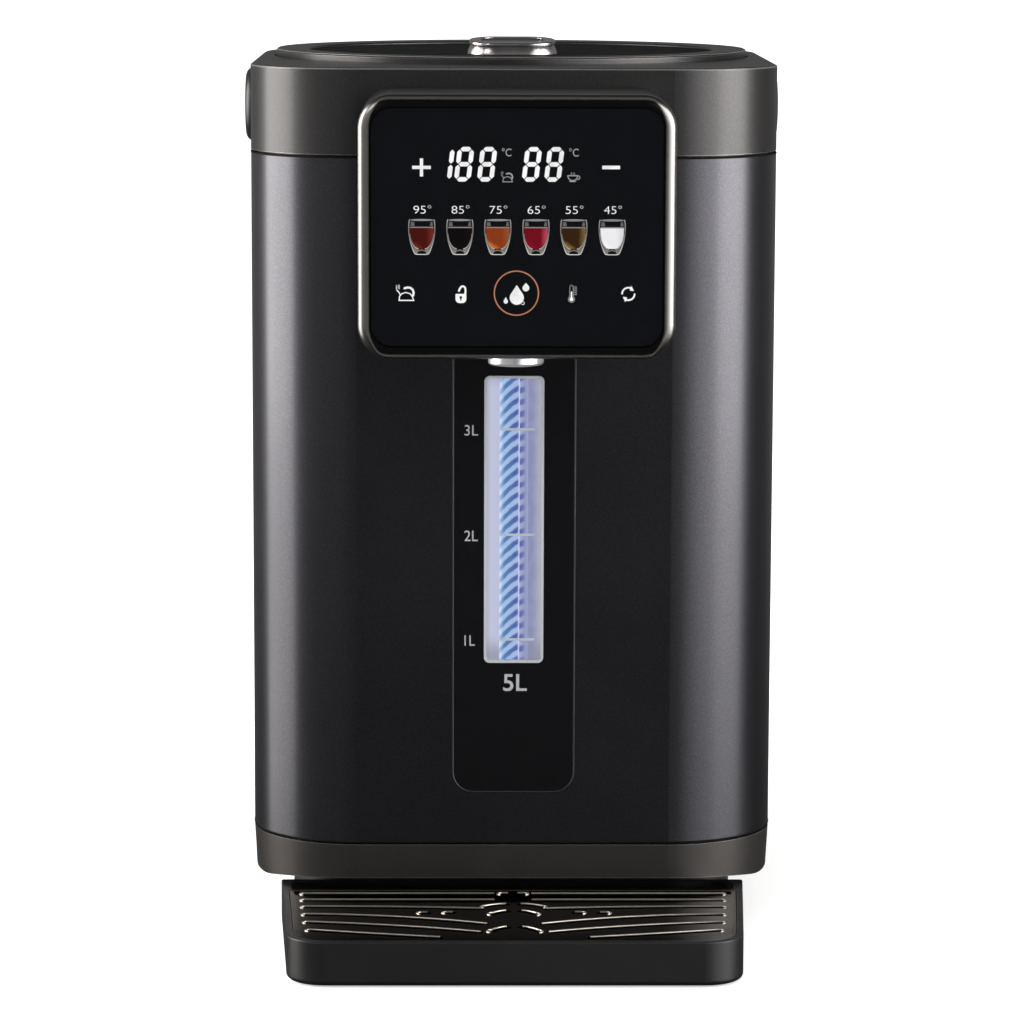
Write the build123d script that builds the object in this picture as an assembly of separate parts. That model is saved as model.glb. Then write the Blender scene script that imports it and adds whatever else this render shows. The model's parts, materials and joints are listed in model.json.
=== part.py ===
"""Five-litre electric thermo pot: one STEP file for each separate piece.

X runs across the pot, -Y is its front, +Z is up, and all sizes are millimetres.
The origin is on the table, at the middle of the space that the whole pot takes up.
"""
import os

from build123d import *

# Driving dimensions of the outside
BODY_WIDTH = 205.0
BODY_DEPTH = 232.0
FRONT_CORNER = 42.0
REAR_CORNER = 70.0
TRAY_REACH = 82.0

# Heights of the stacked casings
FOOT_HEIGHT = 2.5
PLINTH_BOTTOM = 1.5
SKIRT_BOTTOM = 17.9
BAND_BOTTOM = 22.0
BAND_TOP = 35.4
SHELL_BOTTOM = 36.4
SHELL_TOP = 302.7
COLLAR_BOTTOM = 303.7
COLLAR_TOP = 336.8
LID_TOP = 339.8
BUTTON_TOP = 344.0

# Walls
SHELL_WALL = 1.6
MOULD_WALL = 2.6
SEAT = 0.15
SHADOW_LINE = 3.0

# Water side
POT_RADIUS = 88.0
POT_WALL = 1.0
POT_FLOOR = 75.0
POT_BRIM = 303.0
HOSE_RADIUS = 5.0
HOSE_BORE = 3.6
HOSE_OUTSIDE = 6.4
TUBE_RADIUS = 5.5
TUBE_BORE = 4.2

# Control head
HEAD_WIDTH = 117.2
HEAD_BOTTOM = 232.3
HEAD_TOP = 329.6
HEAD_REACH = 60.0
HEAD_CORNER = 12.5
BEZEL_WIDTH = 4.5
BEZEL_DEPTH = 7.0
NOZZLE_REACH = 38.0
NOZZLE_RADIUS = 10.4
NOZZLE_BOTTOM = 228.2

# Level window in its front plate
PLATE_WIDTH = 47.3
PLATE_BOTTOM = 56.3
PLATE_TOP = 246.0
PLATE_THICK = 2.4
WINDOW_WIDTH = 23.0
WINDOW_BOTTOM = 107.5
WINDOW_TOP = 219.4
TRIM = 1.0
TUBE_SETBACK = 11.0

# Lid
LID_RADIUS = 96.25
LID_RING = 13.25
RECESS_RADIUS = 97.0
NECK_RADIUS = 87.0
LEDGE_TOP = 333.0
LID_BOTTOM = 333.4
BUTTON_AHEAD = 29.5
BUTTON_WIDTH = 34.8
BUTTON_DEPTH = 26.0
BUTTON_SLOPE = 4.4
BUTTON_ROOF = 340.2
LATCH_BOTTOM = 327.0
LATCH_TOP = 330.0
HINGE_BEHIND = 96.7
HINGE_HEIGHT = 336.2
HINGE_PIN = 1.5
RUNNING_FIT = 0.06

# Carrying handle
PIVOT_AHEAD = 9.5
PIVOT_HEIGHT = 317.0
PIVOT_PIN = 5.0
HANDLE_GAP = 0.7
HANDLE_THICK = 5.0
HANDLE_BACK_GAP = 4.7
EAR_RADIUS = 15.2
ARM_HEIGHT = 19.0

# Drip tray
TRAY_BOTTOM = 0.5
TRAY_TOP = 17.5
TRAY_HALF_FRONT = 84.8
TRAY_HALF_BACK = 91.0
TRAY_TUCK = 17.2
TRAY_CORNER = 15.0
TRAY_RIM = 2.4
GRILLE_BOTTOM = 14.9
GRILLE_TOP = 16.9
SLOT_WIDTH = 3.0

# Pump
PUMP_BEHIND_FRONT = 55.5
PUMP_RADIUS = 18.0
PUMP_FLOOR = 46.0
PUMP_ROOF = 60.0

# Places that follow from them
HANDLE_REACH = HANDLE_BACK_GAP + HANDLE_THICK
FRONT_Y = (TRAY_REACH - BODY_DEPTH - HANDLE_REACH) / 2
BACK_Y = FRONT_Y + BODY_DEPTH
BODY_Y = (FRONT_Y + BACK_Y) / 2
POT_Y = BACK_Y - BODY_WIDTH / 2
TUBE_Y = FRONT_Y + TUBE_SETBACK
NOZZLE_Y = FRONT_Y - NOZZLE_REACH
PUMP_Y = FRONT_Y + PUMP_BEHIND_FRONT
BUTTON_Y = POT_Y - BUTTON_AHEAD
HINGE_Y = POT_Y + HINGE_BEHIND
PIVOT_Y = POT_Y - PIVOT_AHEAD
HEAD_MIDDLE = (HEAD_BOTTOM + HEAD_TOP) / 2
HEAD_HEIGHT = HEAD_TOP - HEAD_BOTTOM


# Helpers ---------------------------------------------------------------------------------


def slab(sketch, low, high):
    """A flat sketch in X and Y, made solid between two heights."""
    return extrude(Pos(0, 0, low) * sketch, high - low)


def front_slab(sketch, front, back):
    """A sketch in X and Z, made solid between two Y values."""
    plane = Plane(origin=(0, back, 0), x_dir=(1, 0, 0), z_dir=(0, -1, 0))
    return extrude(plane * sketch, back - front)


def side_slab(sketch, left, right):
    """A sketch in Y and Z, made solid between two X values."""
    plane = Plane(origin=(left, 0, 0), x_dir=(0, 1, 0), z_dir=(1, 0, 0))
    return extrude(plane * sketch, right - left)


def disc(radius, low, high, x=0.0, y=0.0):
    """An upright cylinder between two heights."""
    return Pos(x, y, (low + high) / 2) * Cylinder(radius, high - low)


def ring(outer, inner, low, high, x=0.0, y=0.0):
    """An upright tube between two heights."""
    return slab(Pos(x, y) * (Circle(outer) - Circle(inner)), low, high)


def rod_x(radius, left, right, y, z):
    """A cylinder that lies across the pot."""
    middle = (left + right) / 2
    return Pos(middle, y, z) * Rot(0, 90, 0) * Cylinder(radius, right - left)


def block(left, right, front, back, low, high):
    """A plain block between six planes."""
    middle = ((left + right) / 2, (front + back) / 2, (low + high) / 2)
    return Pos(*middle) * Box(right - left, back - front, high - low)


def mirrored(shape):
    """A shape and its mirror image across the pot's middle plane."""
    return [shape, mirror(shape, Plane.YZ)]


def body_plan(inset=0.0):
    """The pot's outline from above: flat front, wide round back."""
    plan = Pos(0, BODY_Y) * Rectangle(BODY_WIDTH - 2 * inset, BODY_DEPTH - 2 * inset)
    plan = fillet(plan.vertices().sort_by(Axis.Y)[:2], FRONT_CORNER - inset)
    return fillet(plan.vertices().sort_by(Axis.Y)[-2:], REAR_CORNER - inset)


def wall_plan(outside, inside):
    """The outline of an upright wall between two insets of the pot's outline."""
    return body_plan(outside) - body_plan(inside)


def rounded(width, height, radius, x=0.0, z=0.0):
    """A rectangle with round corners about a middle point."""
    return Pos(x, z) * RectangleRounded(width, height, radius)


def turned(points, y=POT_Y):
    """A closed outline of radius and height, turned about an upright axis."""
    outline = make_face(Polyline(*points, close=True))
    return Pos(0, y, 0) * revolve(Plane.XZ * outline, Axis.Z)


# Base ------------------------------------------------------------------------------------

PLINTH_HALF = 87.0
PLINTH_FRONT = FRONT_Y + 18.0
PLINTH_BACK = BACK_Y - 10.0
FOOT_RADIUS = 9.0
FOOT_PLACES = [(x, y) for x in (-62.0, 62.0) for y in (PLINTH_FRONT + 22.0, PLINTH_BACK - 42.0)]
SCREW_PLACES = [(x, y) for x in (-72.0, 72.0) for y in (PLINTH_FRONT + 60.0, PLINTH_BACK - 66.0)]


def plinth_plan(inset=0.0):
    """The stand under the pot, set back on every side."""
    width = 2 * (PLINTH_HALF - inset)
    depth = PLINTH_BACK - PLINTH_FRONT - 2 * inset
    plan = Pos(0, (PLINTH_FRONT + PLINTH_BACK) / 2) * Rectangle(width, depth)
    plan = fillet(plan.vertices().sort_by(Axis.Y)[:2], 26.0 - inset)
    return fillet(plan.vertices().sort_by(Axis.Y)[-2:], 58.0 - inset)


def plinth():
    """A deep ring that lifts the pot, with screw posts and two slots for the tray's hooks."""
    part = slab(plinth_plan() - plinth_plan(MOULD_WALL), PLINTH_BOTTOM, BAND_BOTTOM)
    for x, y in SCREW_PLACES:
        part += disc(4.5, 6.0, BAND_BOTTOM, x, y)
        bridge = block(min(abs(x), PLINTH_HALF - 1), PLINTH_HALF - 1, y - 1.2, y + 1.2, 6.0, BAND_BOTTOM)
        part += bridge if x > 0 else mirror(bridge, Plane.YZ)
        part -= disc(1.6, 5.0, 16.0, x, y)
    for hook in tray_hooks(0.5):
        part -= hook
    return part


def bottom_cover():
    """The plate that closes the plinth, with air slots, foot pockets and screw holes."""
    part = slab(plinth_plan(MOULD_WALL + SEAT), PLINTH_BOTTOM, 6.0)
    part -= slab(plinth_plan(MOULD_WALL + SEAT + 2.4), 4.0, 7.0)
    for x, y in FOOT_PLACES:
        part -= disc(FOOT_RADIUS, 0.0, 2.5, x, y)
    for x, y in SCREW_PLACES:
        part += disc(5.6, 3.0, 6.0, x, y)
        part -= disc(1.8, 0.0, 7.0, x, y)
        part -= disc(3.6, 0.0, 3.4, x, y)
    slots = Sketch() + [Pos(x, POT_Y) * SlotOverall(46.0, 3.0, rotation=90) for x in range(-40, 41, 8)]
    return part - slab(slots, 0.0, 7.0)


def rubber_feet():
    """Four soft feet, each in its pocket."""
    feet = []
    for x, y in FOOT_PLACES:
        foot = disc(FOOT_RADIUS - 0.1, 0.0, FOOT_HEIGHT, x, y)
        feet.append(chamfer(foot.edges().group_by(Axis.Z)[0], 0.5))
    return Compound(feet)


def case_screws():
    """Four screws that hold the bottom cover to the plinth."""
    screws = []
    for x, y in SCREW_PLACES:
        head = disc(3.3, 1.9, 3.4, x, y) - block(x - 2.4, x + 2.4, y - 0.5, y + 0.5, 1.0, 2.6)
        head -= block(x - 0.5, x + 0.5, y - 2.4, y + 2.4, 1.0, 2.6)
        screws.append(head + disc(1.6, 3.4, 15.0, x, y))
    return Compound(screws)


def tray_arch():
    """The space over the tray that the band's front arches up to clear."""
    half = [(96.5, 18.7), (92.7, 19.6), (84.1, 20.9), (69.8, 21.8), (45.0, BAND_BOTTOM)]
    crest = Spline((102.0, SKIRT_BOTTOM), *half, tangents=((-1, 0), (-1, 0)))
    sides = [crest @ 1, (0, BAND_BOTTOM), (0, SKIRT_BOTTOM - 2.0), (102.0, SKIRT_BOTTOM - 2.0), crest @ 0]
    profile = make_face([crest, Polyline(*sides)])
    return front_slab(profile + mirror(profile, Plane.YZ), FRONT_Y - 1, FRONT_Y + 45.0)


def base_band():
    """The bottom casing: a narrowing skirt, a flange on the plinth and a lip up into the shell."""
    wall = MOULD_WALL + 1.8
    part = loft([Pos(0, 0, SKIRT_BOTTOM) * body_plan(0.9), Pos(0, 0, BAND_TOP) * body_plan()])
    part = fillet(part.edges().group_by(Axis.Z)[0], 1.6)
    part -= slab(body_plan(wall), BAND_BOTTOM + 2.6, BAND_TOP + 1)
    part -= slab(body_plan(wall), SKIRT_BOTTOM - 1, BAND_BOTTOM)
    part -= slab(plinth_plan(12.0), BAND_BOTTOM - 1, BAND_BOTTOM + 4)
    part -= tray_arch()
    part += slab(wall_plan(SHADOW_LINE, wall), BAND_TOP, SHELL_BOTTOM)
    return part + slab(wall_plan(SHELL_WALL + SEAT, wall), SHELL_BOTTOM, SHELL_BOTTOM + 5.0)


# Outer casings ---------------------------------------------------------------------------

INLET_HEIGHT = 62.0
INLET_WIDTH = 31.0
INLET_TALL = 24.0


def body_shell():
    """The painted sheet jacket, open for the front plate, the spout pipe and the power inlet."""
    part = slab(wall_plan(0.0, SHELL_WALL), SHELL_BOTTOM, SHELL_TOP)
    plate = plate_outline(-SEAT)
    part -= front_slab(plate, FRONT_Y - 1, FRONT_Y + 4)
    part -= front_slab(Pos(0, SPOUT_TOP) * Circle(9.0), FRONT_Y - 1, FRONT_Y + 4)
    inlet = rounded(INLET_WIDTH + 2 * SEAT, INLET_TALL + 2 * SEAT, 3.0, 0, INLET_HEIGHT)
    return part - front_slab(inlet, BACK_Y - 4, BACK_Y + 1)


def upper_collar():
    """The top moulding: outer wall, flat deck, round lid recess, pouring neck and latch notch."""
    part = slab(body_plan(), COLLAR_BOTTOM, COLLAR_TOP)
    part = chamfer(part.edges().group_by(Axis.Z)[-1], 0.7)
    part -= slab(body_plan(MOULD_WALL), COLLAR_BOTTOM - 1, COLLAR_TOP - 3.0)
    part += slab(wall_plan(SHELL_WALL + SEAT, 4.4), COLLAR_BOTTOM - 6.0, SHELL_TOP)
    part += slab(wall_plan(SHADOW_LINE, 4.4), SHELL_TOP, COLLAR_BOTTOM)
    part += slab(wall_plan(MOULD_WALL - 1, 4.4), COLLAR_BOTTOM, COLLAR_BOTTOM + 2.0)
    part += ring(RECESS_RADIUS + MOULD_WALL, NECK_RADIUS, LEDGE_TOP - 2.6, COLLAR_TOP - 1, 0, POT_Y)
    part += ring(NECK_RADIUS + 2.4, NECK_RADIUS, POT_BRIM + 2.2, LEDGE_TOP, 0, POT_Y)
    part -= disc(RECESS_RADIUS, LEDGE_TOP, COLLAR_TOP + 1, 0, POT_Y)
    part -= disc(NECK_RADIUS, COLLAR_BOTTOM, COLLAR_TOP, 0, POT_Y)
    part -= block(-9.0, 9.0, POT_Y - NECK_RADIUS - 4.0, POT_Y - NECK_RADIUS + 4.0, 325.5, COLLAR_TOP)
    part -= hinge_pocket()
    for pin in handle_pins_solids(0.0):
        part -= pin
    return part & slab(body_plan(), 0, COLLAR_TOP + 1)


def plate_outline(inset=0.0):
    """The front plate's outline: round at the bottom, square where the head covers it."""
    width = PLATE_WIDTH - 2 * inset
    height = PLATE_TOP - PLATE_BOTTOM - 2 * inset
    outline = Pos(0, (PLATE_TOP + PLATE_BOTTOM) / 2) * Rectangle(width, height)
    return fillet(outline.vertices().sort_by(Axis.Y)[:2], 8.0 - inset)


def window_outline(inset=0.0):
    """The level window's outline."""
    height = WINDOW_TOP - WINDOW_BOTTOM
    middle = (WINDOW_TOP + WINDOW_BOTTOM) / 2
    return rounded(WINDOW_WIDTH - 2 * inset, height - 2 * inset, 2.2 - inset, 0, middle)


def front_plate():
    """The gloss plate let into the shell, with the window's opening."""
    part = front_slab(plate_outline(), FRONT_Y, FRONT_Y + PLATE_THICK)
    part = chamfer(part.faces().sort_by(Axis.Y)[0].edges(), 0.5)
    return part - front_slab(window_outline(), FRONT_Y - 1, FRONT_Y + 4)


def window_frame():
    """The thin metal trim round the window."""
    outline = window_outline(0.05) - window_outline(TRIM)
    return front_slab(outline, FRONT_Y - 0.3, FRONT_Y + PLATE_THICK)


def window_lens():
    """The clear pane inside the trim."""
    return front_slab(window_outline(TRIM + 0.05), FRONT_Y + 0.2, FRONT_Y + 1.7)


def light_box():
    """The white channel behind the window that holds the level tube."""
    outline = rounded(31.0, 130.0, 4.0, 0, (WINDOW_TOP + WINDOW_BOTTOM) / 2)
    hollow = rounded(27.8, 126.8, 3.0, 0, (WINDOW_TOP + WINDOW_BOTTOM) / 2)
    part = front_slab(outline, FRONT_Y + PLATE_THICK, FRONT_Y + 21.0)
    part -= front_slab(hollow, FRONT_Y + PLATE_THICK - 1, FRONT_Y + 19.4)
    return part - disc(TUBE_RADIUS + 0.3, 90.0, 240.0, 0, TUBE_Y)


def level_tube():
    """The clear riser that shows the water level and feeds the spout."""
    return ring(TUBE_RADIUS, TUBE_BORE, 94.0, 233.0, 0, TUBE_Y)


def tube_seals():
    """The two rubber sleeves at the level tube's ends."""
    top = ring(8.0, TUBE_RADIUS, 229.4, 236.0, 0, TUBE_Y) - disc(HOSE_RADIUS, 233.0, 237.0, 0, TUBE_Y)
    low = ring(8.0, TUBE_RADIUS, 90.0, 98.0, 0, TUBE_Y)
    low += ring(8.0, HOSE_OUTSIDE, 83.0, 90.0, 0, TUBE_Y)
    return Compound([low, top])


def stripe_strip():
    """The printed strip behind the level tube."""
    outline = rounded(13.0, 124.0, 1.0, 0, (WINDOW_TOP + WINDOW_BOTTOM) / 2)
    return front_slab(outline, FRONT_Y + 16.8, FRONT_Y + 17.6)


def led_strip():
    """The narrow board that lights the window from behind."""
    board = front_slab(rounded(9.0, 118.0, 0.8, 0, 163.4), FRONT_Y + 18.6, FRONT_Y + 19.4)
    for step in range(9):
        z = 111.4 + 13.0 * step
        board += block(-1.8, 1.8, FRONT_Y + 18.0, FRONT_Y + 18.6, z - 1.4, z + 1.4)
    return board


# Control head ----------------------------------------------------------------------------

SPOUT_TOP = 268.0


def head_outline(inset=0.0):
    """The head's front outline, a rounded rectangle."""
    width = HEAD_WIDTH - 2 * inset
    return rounded(width, HEAD_HEIGHT - 2 * inset, HEAD_CORNER - inset, 0, HEAD_MIDDLE)


def head_housing():
    """The box that overhangs the cup, open to the front, with the nozzle's hole below."""
    front = FRONT_Y - HEAD_REACH + BEZEL_DEPTH
    part = front_slab(head_outline(), front, FRONT_Y)
    part -= front_slab(head_outline(MOULD_WALL), front - 1, FRONT_Y - 3.0)
    part += disc(NOZZLE_RADIUS + 2.6, HEAD_BOTTOM + 1, HEAD_BOTTOM + 7.0, 0, NOZZLE_Y)
    part -= disc(NOZZLE_RADIUS, HEAD_BOTTOM - 1, HEAD_BOTTOM + 8.0, 0, NOZZLE_Y)
    return part - front_slab(Pos(0, SPOUT_TOP) * Circle(9.0), FRONT_Y - 5, FRONT_Y + 1)


def head_bezel():
    """The bright frame round the glass, rolled over at its front edge."""
    front = FRONT_Y - HEAD_REACH
    part = front_slab(head_outline(), front, front + BEZEL_DEPTH)
    part = fillet(part.faces().sort_by(Axis.Y)[0].edges(), 3.4)
    part -= front_slab(head_outline(BEZEL_WIDTH), front - 1, front + BEZEL_DEPTH + 1)
    groove = head_outline(BEZEL_WIDTH - 1.5)
    return part - front_slab(groove, front + 2.6, front + BEZEL_DEPTH + 1)


def touch_glass():
    """The black glass, bonded in the bezel's rebate and proud inside it."""
    front = FRONT_Y - HEAD_REACH
    pane = front_slab(head_outline(BEZEL_WIDTH + SEAT), front + 0.6, front + 2.6)
    pane = chamfer(pane.faces().sort_by(Axis.Y)[0].edges(), 0.3)
    return pane + front_slab(head_outline(BEZEL_WIDTH - 1.5 + SEAT), front + 2.6, front + 3.8)


def display_board():
    """The display and touch board behind the glass, with its light blocks."""
    front = FRONT_Y - HEAD_REACH + 8.4
    part = front_slab(rounded(98.0, 80.0, 3.0, 0, HEAD_MIDDLE), front, front + 1.6)
    part += block(-28, 28, front - 3.6, front, 290.0, 306.0)
    for column in range(6):
        x = -35.0 + 14.0 * column
        part += block(x - 4, x + 4, front - 3.6, front, 264.0, 276.0)
    for column in range(5):
        x = -41.0 + 20.5 * column
        part += block(x - 3, x + 3, front - 3.6, front, 246.0, 252.0)
    return part + block(-12, 12, front + 1.6, front + 7.6, 296.0, 304.0)


def spout_pipe():
    """The pipe from the level tube's top, over into the head and down to the nozzle."""
    path = FilletPolyline(
        (0, TUBE_Y, 233.0),
        (0, TUBE_Y, SPOUT_TOP),
        (0, NOZZLE_Y, SPOUT_TOP),
        (0, NOZZLE_Y, 238.0),
        radius=14.0,
    )
    start = Plane(origin=path @ 0, z_dir=path % 0)
    return sweep(start * (Circle(HOSE_RADIUS) - Circle(HOSE_BORE)), path=path)


def nozzle():
    """The bright ring round the outlet."""
    part = ring(NOZZLE_RADIUS, 7.4, NOZZLE_BOTTOM, 240.0, 0, NOZZLE_Y)
    return fillet(part.edges().group_by(Axis.Z)[0], 1.0)


def nozzle_tip():
    """The soft outlet inside the ring, joined to the spout pipe."""
    part = ring(7.4, HOSE_BORE, NOZZLE_BOTTOM + 2.0, 238.0, 0, NOZZLE_Y)
    part += ring(7.4, HOSE_RADIUS, 238.0, 242.0, 0, NOZZLE_Y)
    return part


# Water side ------------------------------------------------------------------------------


def inner_pot():
    """The steel pot: round bottom corner, rolled brim and a stub for the pump's hose."""
    outer = POT_RADIUS + POT_WALL
    pot = disc(outer, POT_FLOOR - POT_WALL, POT_BRIM, 0, POT_Y)
    pot = fillet(pot.edges().group_by(Axis.Z)[0], 9.0)
    hollow = disc(POT_RADIUS, POT_FLOOR, POT_BRIM + 1, 0, POT_Y)
    hollow = fillet(hollow.edges().group_by(Axis.Z)[0], 8.0)
    pot -= hollow
    pot += ring(95.5, POT_RADIUS, POT_BRIM - POT_WALL, POT_BRIM, 0, POT_Y)
    pot += disc(HOSE_RADIUS, 68.0, POT_FLOOR - POT_WALL / 2, 0, PUMP_Y)
    return pot - disc(HOSE_BORE, 67.0, POT_FLOOR + 1, 0, PUMP_Y)


def pot_gasket():
    """The silicone ring between the pot's brim and the collar's neck."""
    return ring(94.0, NECK_RADIUS + 0.4, POT_BRIM, POT_BRIM + 2.2, 0, POT_Y)


def insulation_jacket():
    """The felt wrap round the pot."""
    return ring(98.0, 90.6, 86.0, 296.0, 0, POT_Y)


def keep_warm_heater():
    """The flat band heater clamped round the pot's foot."""
    part = ring(90.2, POT_RADIUS + POT_WALL, 96.0, 130.0, 0, POT_Y)
    gap = block(-4, 4, POT_Y + 80, POT_Y + 95, 90, 140)
    return part - gap


def boil_heater():
    """The cast heater plate under the pot with its bent tube element."""
    part = ring(62.0, 18.0, 69.0, POT_FLOOR - POT_WALL, 0, POT_Y)
    tube = Pos(0, POT_Y, 67.0) * Rot(0, 0, -60) * revolve(
        Plane.XZ * (Pos(48.0, 0) * Circle(3.4)), Axis.Z, revolution_arc=300
    )
    return part + tube


def thermostat():
    """The snap-disc switch that stops the heater when the pot runs dry."""
    part = disc(8.0, 62.0, 69.0, 0, POT_Y + 31.0)
    return part + disc(5.0, 58.0, 62.0, 0, POT_Y + 31.0)


def thermal_fuse():
    """The one-shot fuse on the heater plate."""
    return rod_x(2.5, -7.0, 7.0, POT_Y - 31.0, 66.5) + block(-3, 3, POT_Y - 33, POT_Y - 29, 68, 69)


def temperature_sensor():
    """The sensor that presses on the middle of the pot's floor."""
    part = disc(5.0, 66.0, POT_FLOOR - POT_WALL, 0, POT_Y)
    return part + disc(8.0, 64.0, 66.0, 0, POT_Y)


def pump_housing():
    """The pump's chamber, with an inlet stub on top and an outlet stub to the front."""
    part = disc(PUMP_RADIUS, PUMP_FLOOR, PUMP_ROOF, 0, PUMP_Y)
    part = fillet(part.edges().group_by(Axis.Z)[-1], 2.0)
    part += disc(HOSE_RADIUS, PUMP_ROOF - 1, 67.0, 0, PUMP_Y)
    outlet = Pos(0, PUMP_Y - 20.0, 53.0) * Rot(90, 0, 0) * Cylinder(HOSE_RADIUS, 12.0)
    part += outlet
    part -= disc(15.5, 48.0, 57.5, 0, PUMP_Y)
    part -= disc(HOSE_BORE, 57.0, 68.0, 0, PUMP_Y)
    part -= Pos(0, PUMP_Y - 20.0, 53.0) * Rot(90, 0, 0) * Cylinder(HOSE_BORE, 14.0)
    return part - disc(1.5 + RUNNING_FIT, 45.0, 49.0, 0, PUMP_Y)


def pump_motor():
    """The pump's small motor."""
    part = disc(13.8, 26.0, PUMP_FLOOR, 0, PUMP_Y)
    part = chamfer(part.edges().group_by(Axis.Z)[0], 1.5)
    return part - disc(1.5 + RUNNING_FIT, 32.0, 47.0, 0, PUMP_Y)


def pump_impeller():
    """The bladed wheel on its shaft."""
    part = disc(14.2, 49.0, 50.6, 0, PUMP_Y) + disc(4.0, 50.6, 55.0, 0, PUMP_Y)
    part += disc(1.5, 33.0, 49.0, 0, PUMP_Y)
    for turn in range(6):
        blade = Rot(0, 0, 60 * turn + 15) * Pos(8.6, 0, 52.8) * Rot(0, 0, 25) * Box(10.0, 1.2, 4.4)
        part += Pos(0, PUMP_Y, 0) * blade
    return part


def inlet_hose():
    """The short hose from the pot down to the pump."""
    return ring(HOSE_OUTSIDE, HOSE_RADIUS, 61.0, 72.0, 0, PUMP_Y)


def outlet_hose():
    """The hose from the pump forward and up to the level tube."""
    start = PUMP_Y - 19.0
    path = FilletPolyline((0, start, 53.0), (0, TUBE_Y, 53.0), (0, TUBE_Y, 90.0), radius=12.0)
    plane = Plane(origin=path @ 0, z_dir=path % 0)
    return sweep(plane * (Circle(HOSE_OUTSIDE) - Circle(HOSE_RADIUS)), path=path)


def power_board():
    """The main board in the base."""
    return slab(Pos(0, POT_Y + 28.0) * Rectangle(110.0, 76.0), 30.0, 31.6)


def board_parts():
    """The transformer, relay, capacitors and terminals that stand on the main board."""
    y = POT_Y + 28.0
    transformer = block(-50, -16, y - 18, y + 14, 31.6, 56.0)
    relay = block(-8, 10, y - 30, y - 14, 31.6, 48.0)
    capacitors = [disc(6.0, 31.6, 52.0, x, y + 20) for x in (0.0, 16.0)]
    terminals = block(26, 50, y - 30, y - 16, 31.6, 44.0)
    coil = ring(9.0, 4.0, 31.6, 42.0, 38.0, y + 12.0)
    return Compound([transformer, relay, *capacitors, terminals, coil])


def board_posts():
    """Four posts that carry the main board on the base's flange and cover."""
    posts = []
    for x in (-48.0, 48.0):
        for y in (POT_Y - 4.0, POT_Y + 60.0):
            posts.append(disc(3.0, 4.0, 30.0, x, y))
    return Compound(posts)


def power_inlet():
    """The rear appliance inlet: flange, deep socket and three blades."""
    flange = rounded(INLET_WIDTH + 5.0, INLET_TALL + 5.0, 4.0, 0, INLET_HEIGHT)
    part = front_slab(flange, BACK_Y, BACK_Y + 2.0)
    sleeve = rounded(INLET_WIDTH, INLET_TALL, 3.0, 0, INLET_HEIGHT)
    part += front_slab(sleeve, BACK_Y - 20.0, BACK_Y)
    socket = rounded(24.4, 16.8, 2.0, 0, INLET_HEIGHT)
    part -= front_slab(socket, BACK_Y - 16.0, BACK_Y + 3.0)
    for x, z in ((-7.0, -2.0), (7.0, -2.0), (0.0, 2.0)):
        height = INLET_HEIGHT + z
        part += block(x - 1.0, x + 1.0, BACK_Y - 17.0, BACK_Y - 2.0, height - 2.0, height + 2.0)
    return part


# Lid -------------------------------------------------------------------------------------


def button_plan(inset=0.0):
    """The lid button's outline, a soft lozenge."""
    width = BUTTON_WIDTH - 2 * inset
    return Pos(0, BUTTON_Y) * RectangleRounded(width, BUTTON_DEPTH - 2 * inset, 11.0 - inset)


def hinge_pocket():
    """The room that the collar gives the hinge."""
    pocket = block(-31.2, 31.2, POT_Y + 85.0, HINGE_Y + 3.8, HINGE_HEIGHT - 6.4, COLLAR_TOP + 1)
    return pocket - disc(RECESS_RADIUS - 4.0, 320.0, LEDGE_TOP, 0, POT_Y)


def lid_frame():
    """The lid's satin ring, its web under the black disc and the hinge knuckle behind."""
    inner = LID_RADIUS - LID_RING
    part = turned(
        [
            (0, LID_BOTTOM),
            (LID_RADIUS, LID_BOTTOM),
            (LID_RADIUS, LID_TOP - 1.0),
            (LID_RADIUS - 1.0, LID_TOP),
            (inner + 0.6, LID_TOP - 0.3),
            (inner, LID_TOP - 0.9),
            (inner, LID_BOTTOM + 2.0),
            (0, LID_BOTTOM + 2.0),
        ]
    )
    part += rod_x(3.2, -24.0, 24.0, HINGE_Y, HINGE_HEIGHT)
    part += block(-24.0, 24.0, HINGE_Y - 5.0, HINGE_Y, HINGE_HEIGHT - 2.8, HINGE_HEIGHT + 3.2)
    part -= rod_x(HINGE_PIN + RUNNING_FIT, -25.0, 25.0, HINGE_Y, HINGE_HEIGHT)
    part -= slab(button_plan(-1.0), LID_BOTTOM - 1, LID_TOP)
    rail = block(16.6, 18.8, BUTTON_Y - 13.0, BUTTON_Y + 17.0, LATCH_BOTTOM - 1.6, LID_BOTTOM)
    rail += block(13.8, 17.0, BUTTON_Y - 13.0, BUTTON_Y + 17.0, LATCH_BOTTOM - 1.6, LATCH_BOTTOM - 0.3)
    for side in mirrored(rail):
        part += side
    vent = Pos(0, POT_Y + 58.0) * Circle(7.0)
    return part - slab(vent, LID_BOTTOM - 1, LID_TOP)


def lid_inlay():
    """The matt black disc let into the ring, open for the button and the steam vent."""
    top = LID_TOP - 1.2
    part = disc(LID_RADIUS - LID_RING - 0.2, LID_BOTTOM + 2.0, top, 0, POT_Y)
    part = chamfer(part.edges().group_by(Axis.Z)[-1], 0.4)
    part -= slab(button_plan(-1.0), LID_BOTTOM, LID_TOP)
    return part - disc(10.0, LID_BOTTOM, LID_TOP, 0, POT_Y + 58.0)


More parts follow.
